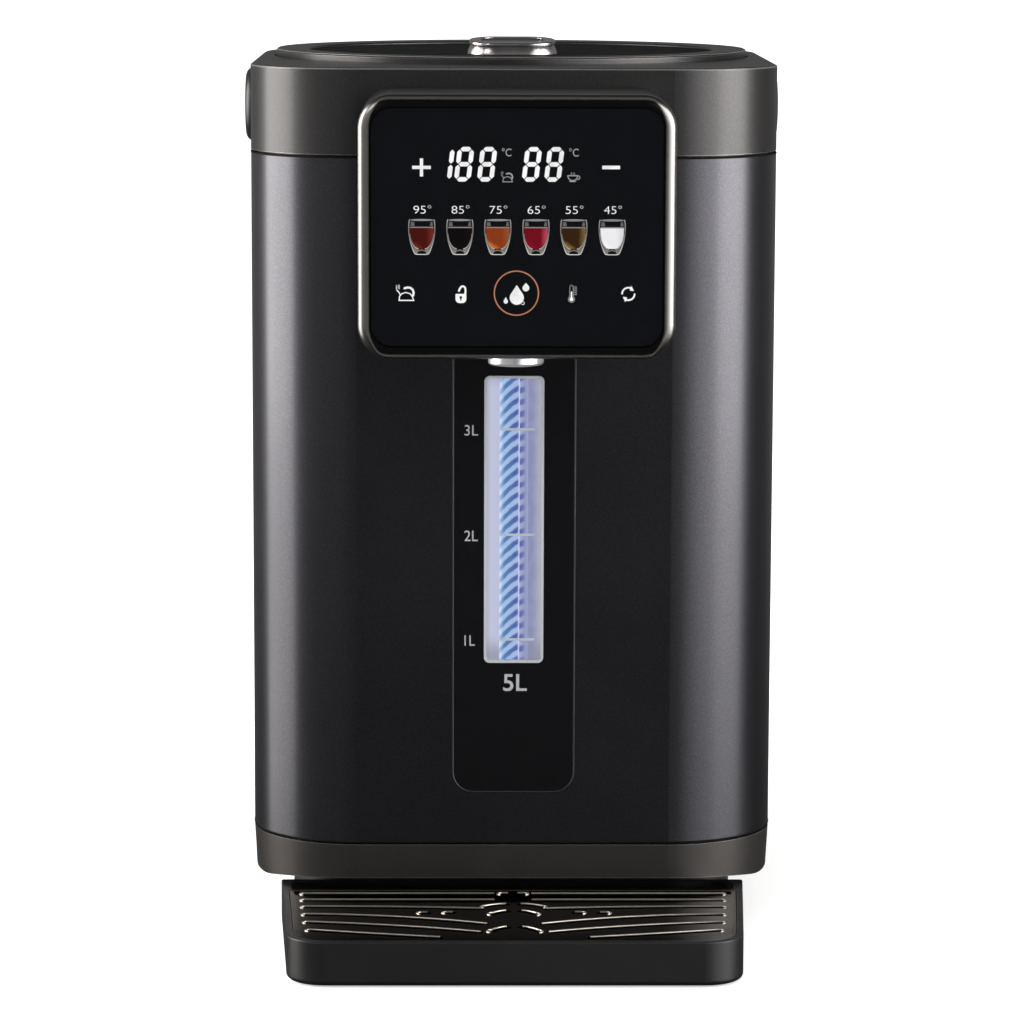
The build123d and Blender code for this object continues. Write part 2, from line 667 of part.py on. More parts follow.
def steam_vent():
    """The slotted cap over the steam passage."""
    top = LID_TOP - 1.2
    part = disc(9.8, LID_BOTTOM + 2.0, top, 0, POT_Y + 58.0)
    part += disc(6.9, LID_BOTTOM - 0.0, LID_BOTTOM + 2.0, 0, POT_Y + 58.0)
    slot = Pos(0, POT_Y + 58.0) * SlotOverall(9.0, 1.6, rotation=90)
    slots = Sketch() + [Pos(x, 0) * slot for x in (-4.0, 0.0, 4.0)]
    return part - slab(slots, LID_BOTTOM - 1, LID_TOP)


def lid_underside():
    """The steel cup under the lid, open at the front for the latch and at the back for steam."""
    part = turned(
        [
            (0, 318.0),
            (79.0, 318.0),
            (81.2, 320.2),
            (81.2, LID_BOTTOM),
            (80.2, LID_BOTTOM),
            (80.2, 320.6),
            (78.6, 319.0),
            (0, 319.0),
        ]
    )
    part -= block(-8.4, 8.4, POT_Y - 84.0, POT_Y - 78.0, 325.4, 332.0)
    holes = Sketch() + [Pos(x, POT_Y + y) * Circle(1.6) for x in (-6, 0, 6) for y in (52, 58, 64)]
    return part - slab(holes, 317, 320)


def lid_gasket():
    """The soft ring that seals the lid in the neck."""
    part = ring(86.0, 81.2, 321.0, 324.4, 0, POT_Y)
    return fillet(part.edges().group_by(Axis.Z)[0].sort_by(SortBy.LENGTH)[-1:], 1.2)


def cam_prong():
    """The prong under the button whose sloping foot pushes the latch back."""
    profile = Polyline(
        (BUTTON_Y - 3.0, BUTTON_ROOF + 0.5),
        (BUTTON_Y + 3.0, BUTTON_ROOF + 0.5),
        (BUTTON_Y + 3.0, LATCH_BOTTOM + 4.4),
        (BUTTON_Y - 1.0, LATCH_BOTTOM + 0.4),
        (BUTTON_Y - 3.0, LATCH_BOTTOM + 0.4),
        close=True,
    )
    return side_slab(make_face(profile), 10.0, 13.0)


def on_button(shape):
    """A shape drawn on a level top, laid on the button's top that slopes to the front."""
    return Pos(0, BUTTON_Y, BUTTON_TOP) * Rot(BUTTON_SLOPE, 0, 0) * Pos(0, -BUTTON_Y, 0) * shape


def lid_button():
    """The bright button that frees the lid: a round-fronted body under a thin sloping top."""
    sections = [(337.0, -0.6), (338.6, -0.6), (340.4, -0.1), (342.2, 0.9)]
    part = loft([Pos(0, 0, z) * button_plan(inset) for z, inset in sections])
    part += slab(button_plan(1.4), 333.2, BUTTON_TOP + 2.0)
    part -= on_button(slab(button_plan(-4.0), -0.6, 6.0))
    top = slab(button_plan(), -1.2, 0.0)
    part += on_button(fillet(top.edges().group_by(Axis.Z)[-1], 0.6))
    part -= on_button(slab(Pos(0, BUTTON_Y) * RectangleRounded(25.2, 16.2, 5.6), -1.3, 1.0))
    part -= slab(button_plan(3.2), 332.0, BUTTON_ROOF)
    part += disc(4.0, LATCH_TOP, BUTTON_ROOF, 0, BUTTON_Y)
    for side in mirrored(cam_prong()):
        part += side
    return part


def button_inlay():
    """The dark dished insert in the button's top."""
    part = slab(Pos(0, BUTTON_Y) * RectangleRounded(25.0, 16.0, 5.5), -1.3, -0.1)
    return on_button(part - Pos(0, BUTTON_Y, 31.3) * Rot(0, 90, 0) * Cylinder(32.0, 40.0))


def button_spring():
    """The coil spring under the button."""
    path = Helix(pitch=4.0, height=BUTTON_ROOF - 320.5, radius=6.0, center=(0, BUTTON_Y, 319.8))
    start = Plane(origin=path @ 0, z_dir=path % 0)
    return sweep(start * RegularPolygon(0.5, 6), path=path, is_frenet=True)


def lid_latch():
    """The sliding latch: a tongue for the collar's notch and a plate with two sloping windows."""
    tongue = block(-7.0, 7.0, POT_Y - 89.4, BUTTON_Y - 11.0, LATCH_BOTTOM, LATCH_TOP)
    part = chamfer(tongue.faces().sort_by(Axis.Y)[0].edges().sort_by(Axis.Z)[:1], 1.6)
    part += block(-16.2, 16.2, BUTTON_Y - 12.0, BUTTON_Y + 12.0, LATCH_BOTTOM, LATCH_TOP)
    opening = Pos(0, BUTTON_Y - 1.4) * RectangleRounded(15.0, 18.0, 5.0)
    part -= slab(opening, LATCH_BOTTOM - 1, LATCH_TOP + 1)
    profile = Polyline(
        (BUTTON_Y - 7.0, LATCH_BOTTOM - 1.0),
        (BUTTON_Y - 2.2, LATCH_BOTTOM - 1.0),
        (BUTTON_Y + 2.8, LATCH_BOTTOM + 4.0),
        (BUTTON_Y - 7.0, LATCH_BOTTOM + 4.0),
        close=True,
    )
    for side in mirrored(side_slab(make_face(profile), 9.6, 13.4)):
        part -= side
    return part


def hinge_pin():
    """The steel pin that the lid turns on."""
    return rod_x(HINGE_PIN, -31.0, 31.0, HINGE_Y, HINGE_HEIGHT)


def hinge_bracket():
    """The two ears that carry the hinge pin, on one base in the collar's pocket."""
    floor = HINGE_HEIGHT - 6.4
    part = block(-31.0, 31.0, HINGE_Y - 2.2, HINGE_Y + 3.6, floor, floor + 1.8)
    for left in (-31.0, 24.4):
        part += rod_x(3.2, left, left + 6.6, HINGE_Y, HINGE_HEIGHT)
        part += block(left, left + 6.6, HINGE_Y - 3.2, HINGE_Y + 3.2, floor, HINGE_HEIGHT)
    return part - rod_x(HINGE_PIN, -32.0, 32.0, HINGE_Y, HINGE_HEIGHT)


# Carrying handle -------------------------------------------------------------------------


def handle_plan(outset):
    """The bail's outline from above, a U that runs from the pivots round the back."""
    half = BODY_WIDTH / 2 + HANDLE_GAP + outset
    back = BACK_Y + HANDLE_BACK_GAP + outset
    plan = Pos(0, (PIVOT_Y + back) / 2) * Rectangle(2 * half, back - PIVOT_Y)
    return fillet(plan.vertices().sort_by(Axis.Y)[-2:], REAR_CORNER + outset)


def handle_bail():
    """The carrying bail, folded down behind the pot, with round ears at its pivots."""
    outer = handle_plan(HANDLE_THICK)
    part = slab(outer - handle_plan(0.0), PIVOT_HEIGHT - ARM_HEIGHT / 2, PIVOT_HEIGHT + ARM_HEIGHT / 2)
    half = BODY_WIDTH / 2 + HANDLE_GAP
    ear = rod_x(EAR_RADIUS, half, half + HANDLE_THICK, PIVOT_Y, PIVOT_HEIGHT)
    ear = fillet(ear.edges().sort_by(Axis.X)[-1:], 3.6)
    for side in mirrored(ear):
        part += side
    bore = rod_x(PIVOT_PIN + RUNNING_FIT, half - 1, half + 3.6, PIVOT_Y, PIVOT_HEIGHT)
    for side in mirrored(bore):
        part -= side
    return part


def handle_pins_solids(slack):
    """The two pivot pins of the handle, each standing out of the collar's side."""
    half = BODY_WIDTH / 2
    pin = rod_x(PIVOT_PIN + slack, half - 7.0, half + HANDLE_GAP + 3.3, PIVOT_Y, PIVOT_HEIGHT)
    return mirrored(pin)


def handle_pins():
    """The handle's two pivot pins."""
    return Compound(handle_pins_solids(0.0))


# Drip tray -------------------------------------------------------------------------------


def tray_plan(inset=0.0):
    """The tray's outline: round front corners and sides that widen to the back."""
    corners = [
        (-TRAY_HALF_FRONT, FRONT_Y - TRAY_REACH),
        (TRAY_HALF_FRONT, FRONT_Y - TRAY_REACH),
        (TRAY_HALF_BACK, FRONT_Y + TRAY_TUCK),
        (-TRAY_HALF_BACK, FRONT_Y + TRAY_TUCK),
    ]
    plan = make_face(Polyline(*corners, close=True))
    plan = fillet(plan.vertices().sort_by(Axis.Y)[:2], TRAY_CORNER)
    plan = fillet(plan.vertices().sort_by(Axis.Y)[-2:], 1.2)
    return offset(plan, -inset) if inset else plan


def ahead_of(sketch, y):
    """The part of a flat sketch that lies in front of a line."""
    return sketch & (Pos(0, y - 100.0) * Rectangle(300.0, 200.0))


def tray_hooks(slack=0.0):
    """The two hooks behind the tray that slide into the plinth."""
    start = FRONT_Y + TRAY_TUCK - 1.0
    hook = block(50 - slack, 62 + slack, start, PLINTH_FRONT + 10.0, 6.6 - slack, 9.6 + slack)
    return mirrored(hook)


def drip_tray():
    """The drip tray: a basin, a step that the grille lies on and a deck under the pot."""
    part = slab(tray_plan(), TRAY_BOTTOM, TRAY_TOP)
    part = fillet(part.edges().group_by(Axis.Z)[0], 2.0)
    part = fillet(part.edges().group_by(Axis.Z)[-1], 0.6)
    part -= slab(ahead_of(tray_plan(TRAY_RIM + 2.2), FRONT_Y + 8.0), 3.0, GRILLE_BOTTOM)
    part -= slab(ahead_of(tray_plan(TRAY_RIM), FRONT_Y - 1.4), GRILLE_BOTTOM, TRAY_TOP + 1)
    for hook in tray_hooks():
        part += hook
    return part


def slot_along(line):
    """A round-ended slot that follows a line in the grille."""
    ends = [Pos(point.X, point.Y) * Circle(SLOT_WIDTH / 2) for point in (line @ 0, line @ 1)]
    return trace(line, SLOT_WIDTH) + ends


def grille_slots():
    """The grille's slots: six long rows a side, three small holes and the nested middle arcs."""
    y = FRONT_Y
    lines = [
        Line((-81.2, y - 5.6), (-7.2, y - 5.6)),
        Line((-80.8, y - 15.6), (-7.2, y - 15.6)),
        ThreePointArc((-80.2, y - 26.4), (-46.0, y - 27.0), (-12.6, y - 29.4)),
        ThreePointArc((-79.4, y - 38.2), (-44.0, y - 42.6), (-11.0, y - 53.0)),
        ThreePointArc((-78.4, y - 50.2), (-44.0, y - 56.4), (-13.4, y - 65.4)),
        ThreePointArc((-77.0, y - 62.4), (-52.0, y - 68.4), (-28.4, y - 73.4)),
    ]
    for crown, span, drop in ((-57.6, 7.8, 6.2), (-32.6, 7.4, 4.8), (-22.0, 10.0, 4.0)):
        middle = (-span * 0.68, y + crown - drop * 0.28)
        lines.append(ThreePointArc((-span - 1.0, y + crown - drop), middle, (-2.6, y + crown)))
    slots = Sketch() + [slot_along(line) for line in lines]
    for x, hole in ((-34.2, -35.6), (-24.6, -35.2)):
        slots += Pos(x, y + hole) * SlotOverall(5.4, SLOT_WIDTH)
    slots += Pos(-3.1, y - 5.0) * SlotOverall(4.0, SLOT_WIDTH)
    return slots + mirror(slots, Plane.YZ)


def drip_grille():
    """The lift-out cover of the tray: a plate with a raised border, slots and short feet."""
    outline = ahead_of(tray_plan(TRAY_RIM + 0.4), FRONT_Y - 1.8)
    inner = ahead_of(tray_plan(TRAY_RIM + 2.0), FRONT_Y - 3.2)
    part = slab(outline, GRILLE_BOTTOM, GRILLE_TOP)
    part += slab(outline - inner, GRILLE_TOP, GRILLE_TOP + 0.5)
    return part - slab(grille_slots(), GRILLE_BOTTOM - 1, GRILLE_TOP + 1)


PIECES = [
    plinth,
    bottom_cover,
    rubber_feet,
    case_screws,
    base_band,
    body_shell,
    upper_collar,
    front_plate,
    window_frame,
    window_lens,
    light_box,
    level_tube,
    tube_seals,
    stripe_strip,
    led_strip,
    head_housing,
    head_bezel,
    touch_glass,
    display_board,
    spout_pipe,
    nozzle,
    nozzle_tip,
    inner_pot,
    pot_gasket,
    insulation_jacket,
    keep_warm_heater,
    boil_heater,
    thermostat,
    thermal_fuse,
    temperature_sensor,
    pump_housing,
    pump_motor,
    pump_impeller,
    inlet_hose,
    outlet_hose,
    power_board,
    board_parts,
    board_posts,
    power_inlet,
    lid_frame,
    lid_inlay,
    steam_vent,
    lid_underside,
    lid_gasket,
    lid_button,
    button_inlay,
    button_spring,
    lid_latch,
    hinge_pin,
    hinge_bracket,
    handle_bail,
    handle_pins,
    drip_tray,
    drip_grille,
]


def main():
    """Build every piece and write it under its own name."""
    os.makedirs("parts", exist_ok=True)
    for piece in PIECES:
        export_step(piece(), f"parts/{piece.__name__}.step")


main()
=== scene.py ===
"""Looks of a five-litre electric thermo pot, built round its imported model.

Lengths are millimetres in the model's own frame: X across, -Y to the front, Z up. A mesh is
scaled to metres once, when it is finished. Colours are linear unless they go through srgb().
"""
import json
import logging
import math
from collections.abc import Iterable, Sequence
from dataclasses import dataclass, replace
from enum import Enum
from functools import cached_property
from typing import ClassVar

import bmesh
import bpy
from mathutils import Matrix, Vector, geometry

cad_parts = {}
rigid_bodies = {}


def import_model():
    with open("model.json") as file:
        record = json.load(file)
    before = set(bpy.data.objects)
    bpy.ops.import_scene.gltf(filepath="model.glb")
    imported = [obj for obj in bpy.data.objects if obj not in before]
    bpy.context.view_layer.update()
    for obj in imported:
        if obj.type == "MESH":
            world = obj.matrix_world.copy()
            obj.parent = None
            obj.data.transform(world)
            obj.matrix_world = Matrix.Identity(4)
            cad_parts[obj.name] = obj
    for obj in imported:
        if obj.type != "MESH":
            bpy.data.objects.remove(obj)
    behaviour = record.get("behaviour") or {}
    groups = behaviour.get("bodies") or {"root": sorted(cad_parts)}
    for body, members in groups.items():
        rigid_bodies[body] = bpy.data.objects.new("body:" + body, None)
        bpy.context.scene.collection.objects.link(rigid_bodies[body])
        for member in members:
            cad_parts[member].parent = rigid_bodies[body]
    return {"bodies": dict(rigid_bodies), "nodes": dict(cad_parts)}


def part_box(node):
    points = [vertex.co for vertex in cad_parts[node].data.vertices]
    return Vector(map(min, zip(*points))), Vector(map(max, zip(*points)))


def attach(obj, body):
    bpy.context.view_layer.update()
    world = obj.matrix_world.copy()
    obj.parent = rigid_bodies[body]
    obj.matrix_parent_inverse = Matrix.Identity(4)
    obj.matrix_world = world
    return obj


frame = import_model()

Point = tuple[float, float]
Point3 = tuple[float, float, float]
Colour = tuple[float, float, float]
Stops = tuple[tuple[float, Point3], ...]
Shape = Sequence[Sequence[Point]]
Path = tuple[Sequence[Sequence[float]], bool]
Solid = bmesh.types.BMesh
Mesh = bpy.types.Mesh
Material = bpy.types.Material
Tree = bpy.types.NodeTree
Node = bpy.types.Node
Socket = bpy.types.NodeSocket
Sockets = bpy.types.bpy_prop_collection

MM = 0.001
INK = 0.04  # thickness of raised print
MERGE = 1e-4  # points nearer than this are one
SHARP = 32.0  # degrees past which an edge of a piece stays sharp
BEAD_SHARP = 50.0
ROLL_STEPS = 2
log = logging.getLogger("thermo_pot")


# Small tools ---------------------------------------------------------------------------


class Facing(Enum):
    """The way a flat outline faces once it is placed: its X and Y, and its height."""

    UP = Matrix.Identity(4)
    FRONT = Matrix.Rotation(math.pi / 2, 4, "X")


@dataclass(frozen=True)
class Span:
    """The space that a node of the model takes up."""

    low: Vector
    high: Vector

    @classmethod
    def of(cls, node: str) -> "Span":
        """The space of one node, read from the frame."""
        low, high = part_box(node)
        return cls(low / MM, high / MM)

    @property
    def middle(self) -> Vector:
        """The centre of the space."""
        return (self.low + self.high) / 2


def srgb(red: int, green: int, blue: int) -> Colour:
    """A display colour of 0 to 255 as a linear colour."""
    shares = (red / 255, green / 255, blue / 255)
    return tuple(c / 12.92 if c <= 0.04045 else ((c + 0.055) / 1.055) ** 2.4 for c in shares)


def grey(level: float) -> Colour:
    """A neutral linear colour."""
    return (level, level, level)


def dimmed(colour: Colour, share: float) -> Colour:
    """A colour brought down to a share of itself."""
    return tuple(c * share for c in colour)


def rgba(colour: Colour) -> tuple[float, float, float, float]:
    """A colour with full alpha, as a colour socket takes it."""
    return (*colour, 1.0)


# Outlines ------------------------------------------------------------------------------


def box(left: float, foot: float, right: float, top: float) -> list[Point]:
    """The corners of a rectangle, anticlockwise from its lower left."""
    return [(left, foot), (right, foot), (right, top), (left, top)]


def arc(centre: Point, radius: float, start: float, end: float, steps: int = 12) -> list[Point]:
    """Points along an arc.

    Args:
        centre: The arc's centre.
        radius: Its radius.
        start: The first angle in degrees, anticlockwise from +X.
        end: The last angle in degrees.
        steps: The number of chords.

    Returns:
        The points, both ends included.
    """
    angles = [math.radians(start + (end - start) * i / steps) for i in range(steps + 1)]
    return [(centre[0] + radius * math.cos(a), centre[1] + radius * math.sin(a)) for a in angles]


def rounded_corners(corners: Sequence[Point], radii: Sequence[float], steps: int = 12) -> list[Point]:
    """A closed outline with round corners.

    Args:
        corners: The corners before they are rounded, in order.
        radii: The radius of each corner.
        steps: The number of chords in each corner.

    Returns:
        The outline.
    """
    outline = []
    count = len(corners)
    for i, radius in enumerate(radii):
        here = Vector(corners[i])
        before = (Vector(corners[i - 1]) - here).normalized()
        after = (Vector(corners[(i + 1) % count]) - here).normalized()
        half = before.angle(after) / 2
        centre = here + (before + after).normalized() * (radius / math.sin(half))
        first = here + before * (radius / math.tan(half)) - centre
        last = here + after * (radius / math.tan(half)) - centre
        start = math.degrees(math.atan2(first.y, first.x))
        turn = math.degrees(math.atan2(first.cross(last), first.dot(last)))
        outline += arc(tuple(centre), radius, start, start + turn, steps)
    return outline


def ribbon(points: Sequence[Point], width: float, cap_steps: int = 6) -> list[Point]:
    """The outline of a round-ended band that follows a line.

    Args:
        points: The line, at the middle of the band.
        width: The band's width.
        cap_steps: The number of chords in each round end.

    Returns:
        The outline: its left side forwards, an end, its right side back, and the other end.
    """
    line = [Vector(p) for p in points]
    sides: tuple[list[Point], list[Point]] = ([], [])
    for i, here in enumerate(line):
        along = (line[min(i + 1, len(line) - 1)] - line[max(i - 1, 0)]).normalized()
        across = Vector((-along.y, along.x)) * (width / 2)
        sides[0].append(tuple(here + across))
        sides[1].append(tuple(here - across))
    ends = []
    for tip, inner in ((line[-1], line[-2]), (line[0], line[1])):
        out = math.degrees(math.atan2(tip.y - inner.y, tip.x - inner.x))
        ends.append(arc(tuple(tip), width / 2, out + 90, out - 90, cap_steps)[1:-1])
    return sides[0] + ends[0] + sides[1][::-1] + ends[1]


def bow(first: Point, middle: Point, last: Point, steps: int = 16) -> list[Point]:
    """Points along a shallow curve.

    Args:
        first: Where it starts.
        middle: The point that it passes half way.
        last: Where it ends.
        steps: The number of chords.

    Returns:
        The points, both ends included.
    """
    a, b, c = Vector(first), Vector(middle), Vector(last)
    control = 2 * b - (a + c) / 2
    shares = [i / steps for i in range(steps + 1)]
    return [tuple(a * (1 - t) ** 2 + control * (2 * t * (1 - t)) + c * t * t) for t in shares]


def mirrored(points: Iterable[Point]) -> list[Point]:
    """The same points on the other side of the middle plane."""
    return [(-x, y) for x, y in points]


def moved(shapes: Iterable[Shape], x: float, y: float, scale: float = 1.0) -> list[Shape]:
    """Shapes drawn about the origin, scaled and moved to their place."""
    return [
        [[(x + scale * px, y + scale * py) for px, py in outline] for outline in shape] for shape in shapes
    ]


def teardrop(x: float, foot: float, width: float, height: float) -> list[Point]:
    """A drop that stands on its round end.

    Args:
        x: The middle of the drop.
        foot: The height of its lowest point.
        width: Its width.
        height: Its height.

    Returns:
        The outline.
    """
    radius = width / 2
    tilt = math.degrees(math.asin(radius / (height - radius)))
    return arc((x, foot + radius), radius, 180 - tilt, 360 + tilt, 24) + [(x, foot + height)]


# Meshes --------------------------------------------------------------------------------


def shaded(mesh: Mesh, sharp: float) -> Mesh:
    """Shade a mesh smooth, but for its sharp edges.

    Args:
        mesh: The mesh. It is changed.
        sharp: The angle in degrees past which an edge is sharp.

    Returns:
        The same mesh.
    """
    mesh.shade_smooth()
    mesh.set_sharp_from_angle(angle=math.radians(sharp))
    return mesh


def finish_mesh(name: str, solid: Solid, facing: Facing = Facing.UP) -> Mesh:
    """Close a mesh, turn it, scale it to metres and shade it.

    Args:
        name: The mesh's name.
        solid: The mesh in millimetres, in its outline's own axes. It is freed.
        facing: The way its outline faces.

    Returns:
        The finished mesh.
    """
    bmesh.ops.remove_doubles(solid, verts=solid.verts, dist=MERGE)
    bmesh.ops.recalc_face_normals(solid, faces=solid.faces)
    solid.transform(Matrix.Scale(MM, 4) @ facing.value)
    mesh = bpy.data.meshes.new(name)
    solid.to_mesh(mesh)
    solid.free()
    return shaded(mesh, SHARP)


def baked(carrier: bpy.types.Object) -> Mesh:
    """Apply an object's modifiers.

    Args:
        carrier: The object. It is removed.

    Returns:
        The plain mesh.
    """
    bpy.context.scene.collection.objects.link(carrier)
    depsgraph = bpy.context.evaluated_depsgraph_get()
    mesh = bpy.data.meshes.new_from_object(carrier.evaluated_get(depsgraph))
    bpy.data.objects.remove(carrier)
    return mesh


def as_solid(mesh: Mesh) -> Solid:
    """Make a mesh editable.

    Args:
        mesh: The mesh. It is removed.

    Returns:
        The editable copy.
    """
    solid = bmesh.new()
    solid.from_mesh(mesh)
    bpy.data.meshes.remove(mesh)
    return solid


def plate(outlines: Iterable[Sequence[Point]], low: float, high: float, roll: float = 0.0) -> Solid:
    """A flat plate with its edges rolled over.

    Args:
        outlines: Closed outlines; one inside another is a hole.
        low: The height of its lower face.
        high: The height of its upper face.
        roll: The radius of its rolled edges.

    Returns:
        The plate in its outline's own axes.
    """
    curve = bpy.data.curves.new("outline", "CURVE")
    curve.dimensions = "2D"
    curve.fill_mode = "BOTH"
    curve.extrude = (high - low) / 2 - roll
    curve.bevel_depth = roll
    curve.bevel_resolution = ROLL_STEPS
    curve.offset = -roll
    for outline in outlines:
        spline = curve.splines.new("POLY")
        spline.points.add(len(outline) - 1)
        for point, (x, y) in zip(spline.points, outline):
            point.co = (x, y, 0.0, 1.0)
        spline.use_cyclic_u = True
    solid = as_solid(baked(bpy.data.objects.new("outline", curve)))
    solid.transform(Matrix.Translation((0, 0, (low + high) / 2)))
    return solid


def lettering(
    text: str, size: Point, middle: Point, face: float, thick: float = INK, weight: float = 0.0,
) -> Solid:
    """Raised characters fitted to a width and height.

    Args:
        text: The characters.
        size: Their width and height together.
        middle: The middle of the space they fill.
        face: The height of the face they stand on.
        thick: How far they stand out.
        weight: How much bolder than the plain face they are drawn.

    Returns:
        The characters in their outline's own axes.
    """
    curve = bpy.data.curves.new("lettering", "FONT")
    curve.body = text
    curve.extrude = 0.5
    curve.offset = weight
    solid = as_solid(baked(bpy.data.objects.new("lettering", curve)))
    across, up = [v.co.x for v in solid.verts], [v.co.y for v in solid.verts]
    drawn = Vector((max(across) - min(across), max(up) - min(up)))
    solid.transform(Matrix.Translation((-(min(across) + max(across)) / 2, -(min(up) + max(up)) / 2, 0)))
    solid.transform(Matrix.Diagonal((size[0] / drawn.x, size[1] / drawn.y, thick, 1)))
    solid.transform(Matrix.Translation((*middle, face + thick / 2)))
    return solid


def printed(shapes: Iterable[Shape], face: float, thick: float = INK) -> Solid:
    """Thin raised print: each shape is an outline with its holes, and may cross the others."""
    return joined(plate(shape, face, face + thick) for shape in shapes)


def wrapped(solid: Solid, radius: float, y: float) -> Solid:
    """Bend flat print onto the inside of the far half of an upright cylinder.

    Args:
        solid: The print, with its outline's Y as height. It is changed.
        radius: The cylinder's radius.
        y: The place of the cylinder's axis, front to back.

    Returns:
        The same print, bent.
    """
    for vert in solid.verts:
        angle = vert.co.x / radius
        reach = radius - vert.co.z
        vert.co = (reach * math.sin(angle), y + reach * math.cos(angle), vert.co.y)
    return solid


def joined(parts: Iterable[Solid]) -> Solid:
    """Join several meshes.

    Args:
        parts: The meshes. They are freed.

    Returns:
        One mesh that holds them all.
    """
    whole = bmesh.new()
    for part in parts:
        loose = bpy.data.meshes.new("part")
        part.to_mesh(loose)
        part.free()
        whole.from_mesh(loose)
        bpy.data.meshes.remove(loose)
    return whole


def lines(paths: Iterable[Path], facing: Facing) -> Mesh:
    """Lay bare edges along paths.

    Args:
        paths: The points of each path in millimetres, and whether it is closed.
        facing: The way the paths face.

    Returns:
        A mesh of edges alone, in metres.
    """
    solid = bmesh.new()
    for points, closed in paths:
        verts = [solid.verts.new((*point, 0.0)[:3]) for point in points]
        for pair in zip(verts, verts[1:] + verts[:1] if closed else verts[1:]):
            solid.edges.new(pair)
    return finish_mesh("lines", solid, facing)


def section(node: str, height: float) -> list[Point]:
    """Cut a convex node of the model across.

    Args:
        node: The node's name.
        height: The height of the cut in millimetres.

    Returns:
        Its outer outline there, in millimetres.
    """
    piece = frame["nodes"][node]
    solid = bmesh.new()
    solid.from_mesh(piece.data)
    solid.transform(piece.matrix_world)
    whole = solid.verts[:] + solid.edges[:] + solid.faces[:]
    cut = bmesh.ops.bisect_plane(solid, geom=whole, plane_co=(0, 0, height * MM), plane_no=(0, 0, 1))
    points = [(v.co.x / MM, v.co.y / MM) for v in cut["geom_cut"] if isinstance(v, bmesh.types.BMVert)]
    solid.free()
    return [points[index] for index in geometry.convex_hull_2d(points)]


# Node trees ----------------------------------------------------------------------------


class Kind(Enum):
    """The kinds of socket that the groups use."""

    NUMBER = "NodeSocketFloat"
    COUNT = "NodeSocketInt"
    COLOUR = "NodeSocketColor"
    VECTOR = "NodeSocketVector"
    MATERIAL = "NodeSocketMaterial"
    SHAPE = "NodeSocketGeometry"


PLACE_INPUT = (Kind.VECTOR, (0, 0, 0))
BASE_INPUT = (Kind.COLOUR, rgba(grey(0.05)))
PALE_INPUT = (Kind.COLOUR, rgba(grey(0.2)))
FINISH_INPUT = (Kind.MATERIAL, None)


class Graph:
    """Short calls for wiring a node tree."""

    def __init__(self, tree: Tree) -> None:
        """Start on a tree that may already hold nodes."""
        self.tree = tree

    def add(self, kind: str, inputs: dict | None = None, **settings: object) -> Node:
        """Add a node.

        Args:
            kind: The node's type.
            inputs: Values or other sockets for its inputs, by name or by place.
            settings: The node's own settings.

        Returns:
            The node.
        """
        node = self.tree.nodes.new(kind)
        for name, value in settings.items():
            setattr(node, name, value)
        for key, value in (inputs or {}).items():
            self.feed(node.inputs[key], value)
        return node

    def group(self, tree: Tree, **values: object) -> Sockets:
        """Place a shared group and feed its inputs. Its outputs are returned."""
        return self.add("ShaderNodeGroup", values, node_tree=tree).outputs

    def feed(self, socket: Socket, value: object) -> None:
        """Link a socket to another, or set its value.

        Args:
            socket: The input that is fed.
            value: An output, or a plain value.
        """
        if isinstance(value, Socket):
            self.tree.links.new(value, socket)
        else:
            socket.default_value = value

    def math(self, operation: str, *values: object) -> Socket:
        """The result of a Math node on one or more values."""
        return self.add("ShaderNodeMath", dict(enumerate(values)), operation=operation).outputs[0]

    def plus(self, first: object, second: object) -> Socket:
        """The sum of two values."""
        return self.math("ADD", first, second)

    def minus(self, first: object, second: object) -> Socket:
        """The first value less the second."""
        return self.math("SUBTRACT", first, second)

    def times(self, first: object, second: object) -> Socket:
        """The product of two values."""
        return self.math("MULTIPLY", first, second)

    def mix(self, share: object, first: object, second: object) -> Socket:
        """Two colours mixed by a share."""
        return self.add("ShaderNodeMix", {0: share, 6: first, 7: second}, data_type="RGBA").outputs[2]

    def ramp(self, value: object, low: float, high: float, to_low: float, to_high: float) -> Socket:
        """A value carried smoothly from one range to another, and held at its ends."""
        inputs = {0: value, 1: low, 2: high, 3: to_low, 4: to_high}
        return self.add("ShaderNodeMapRange", inputs, interpolation_type="SMOOTHSTEP").outputs[0]

    def bands(self, value: object, stops: Stops) -> Socket:
        """A colour that runs through stops.

        Args:
            value: What it follows.
            stops: The value at each stop, and its display colour of 0 to 255.

        Returns:
            The colour.
        """
        first, last = stops[0][0], stops[-1][0]
        share = self.math("DIVIDE", self.minus(value, first), last - first)
        node = self.add("ShaderNodeValToRGB", {0: share})
        elements = node.color_ramp.elements
        while len(elements) < len(stops):
            elements.new(0.5)
        for element, (at, colour) in zip(elements, stops):
            element.position = (at - first) / (last - first)
            element.color = rgba(srgb(*colour))
        return node.outputs[0]

    def noise(self, place: object, scale: object, detail: float = 2.0) -> Socket:
        """The value of a noise texture."""
        return self.add("ShaderNodeTexNoise", {"Vector": place, "Scale": scale, "Detail": detail}).outputs[0]


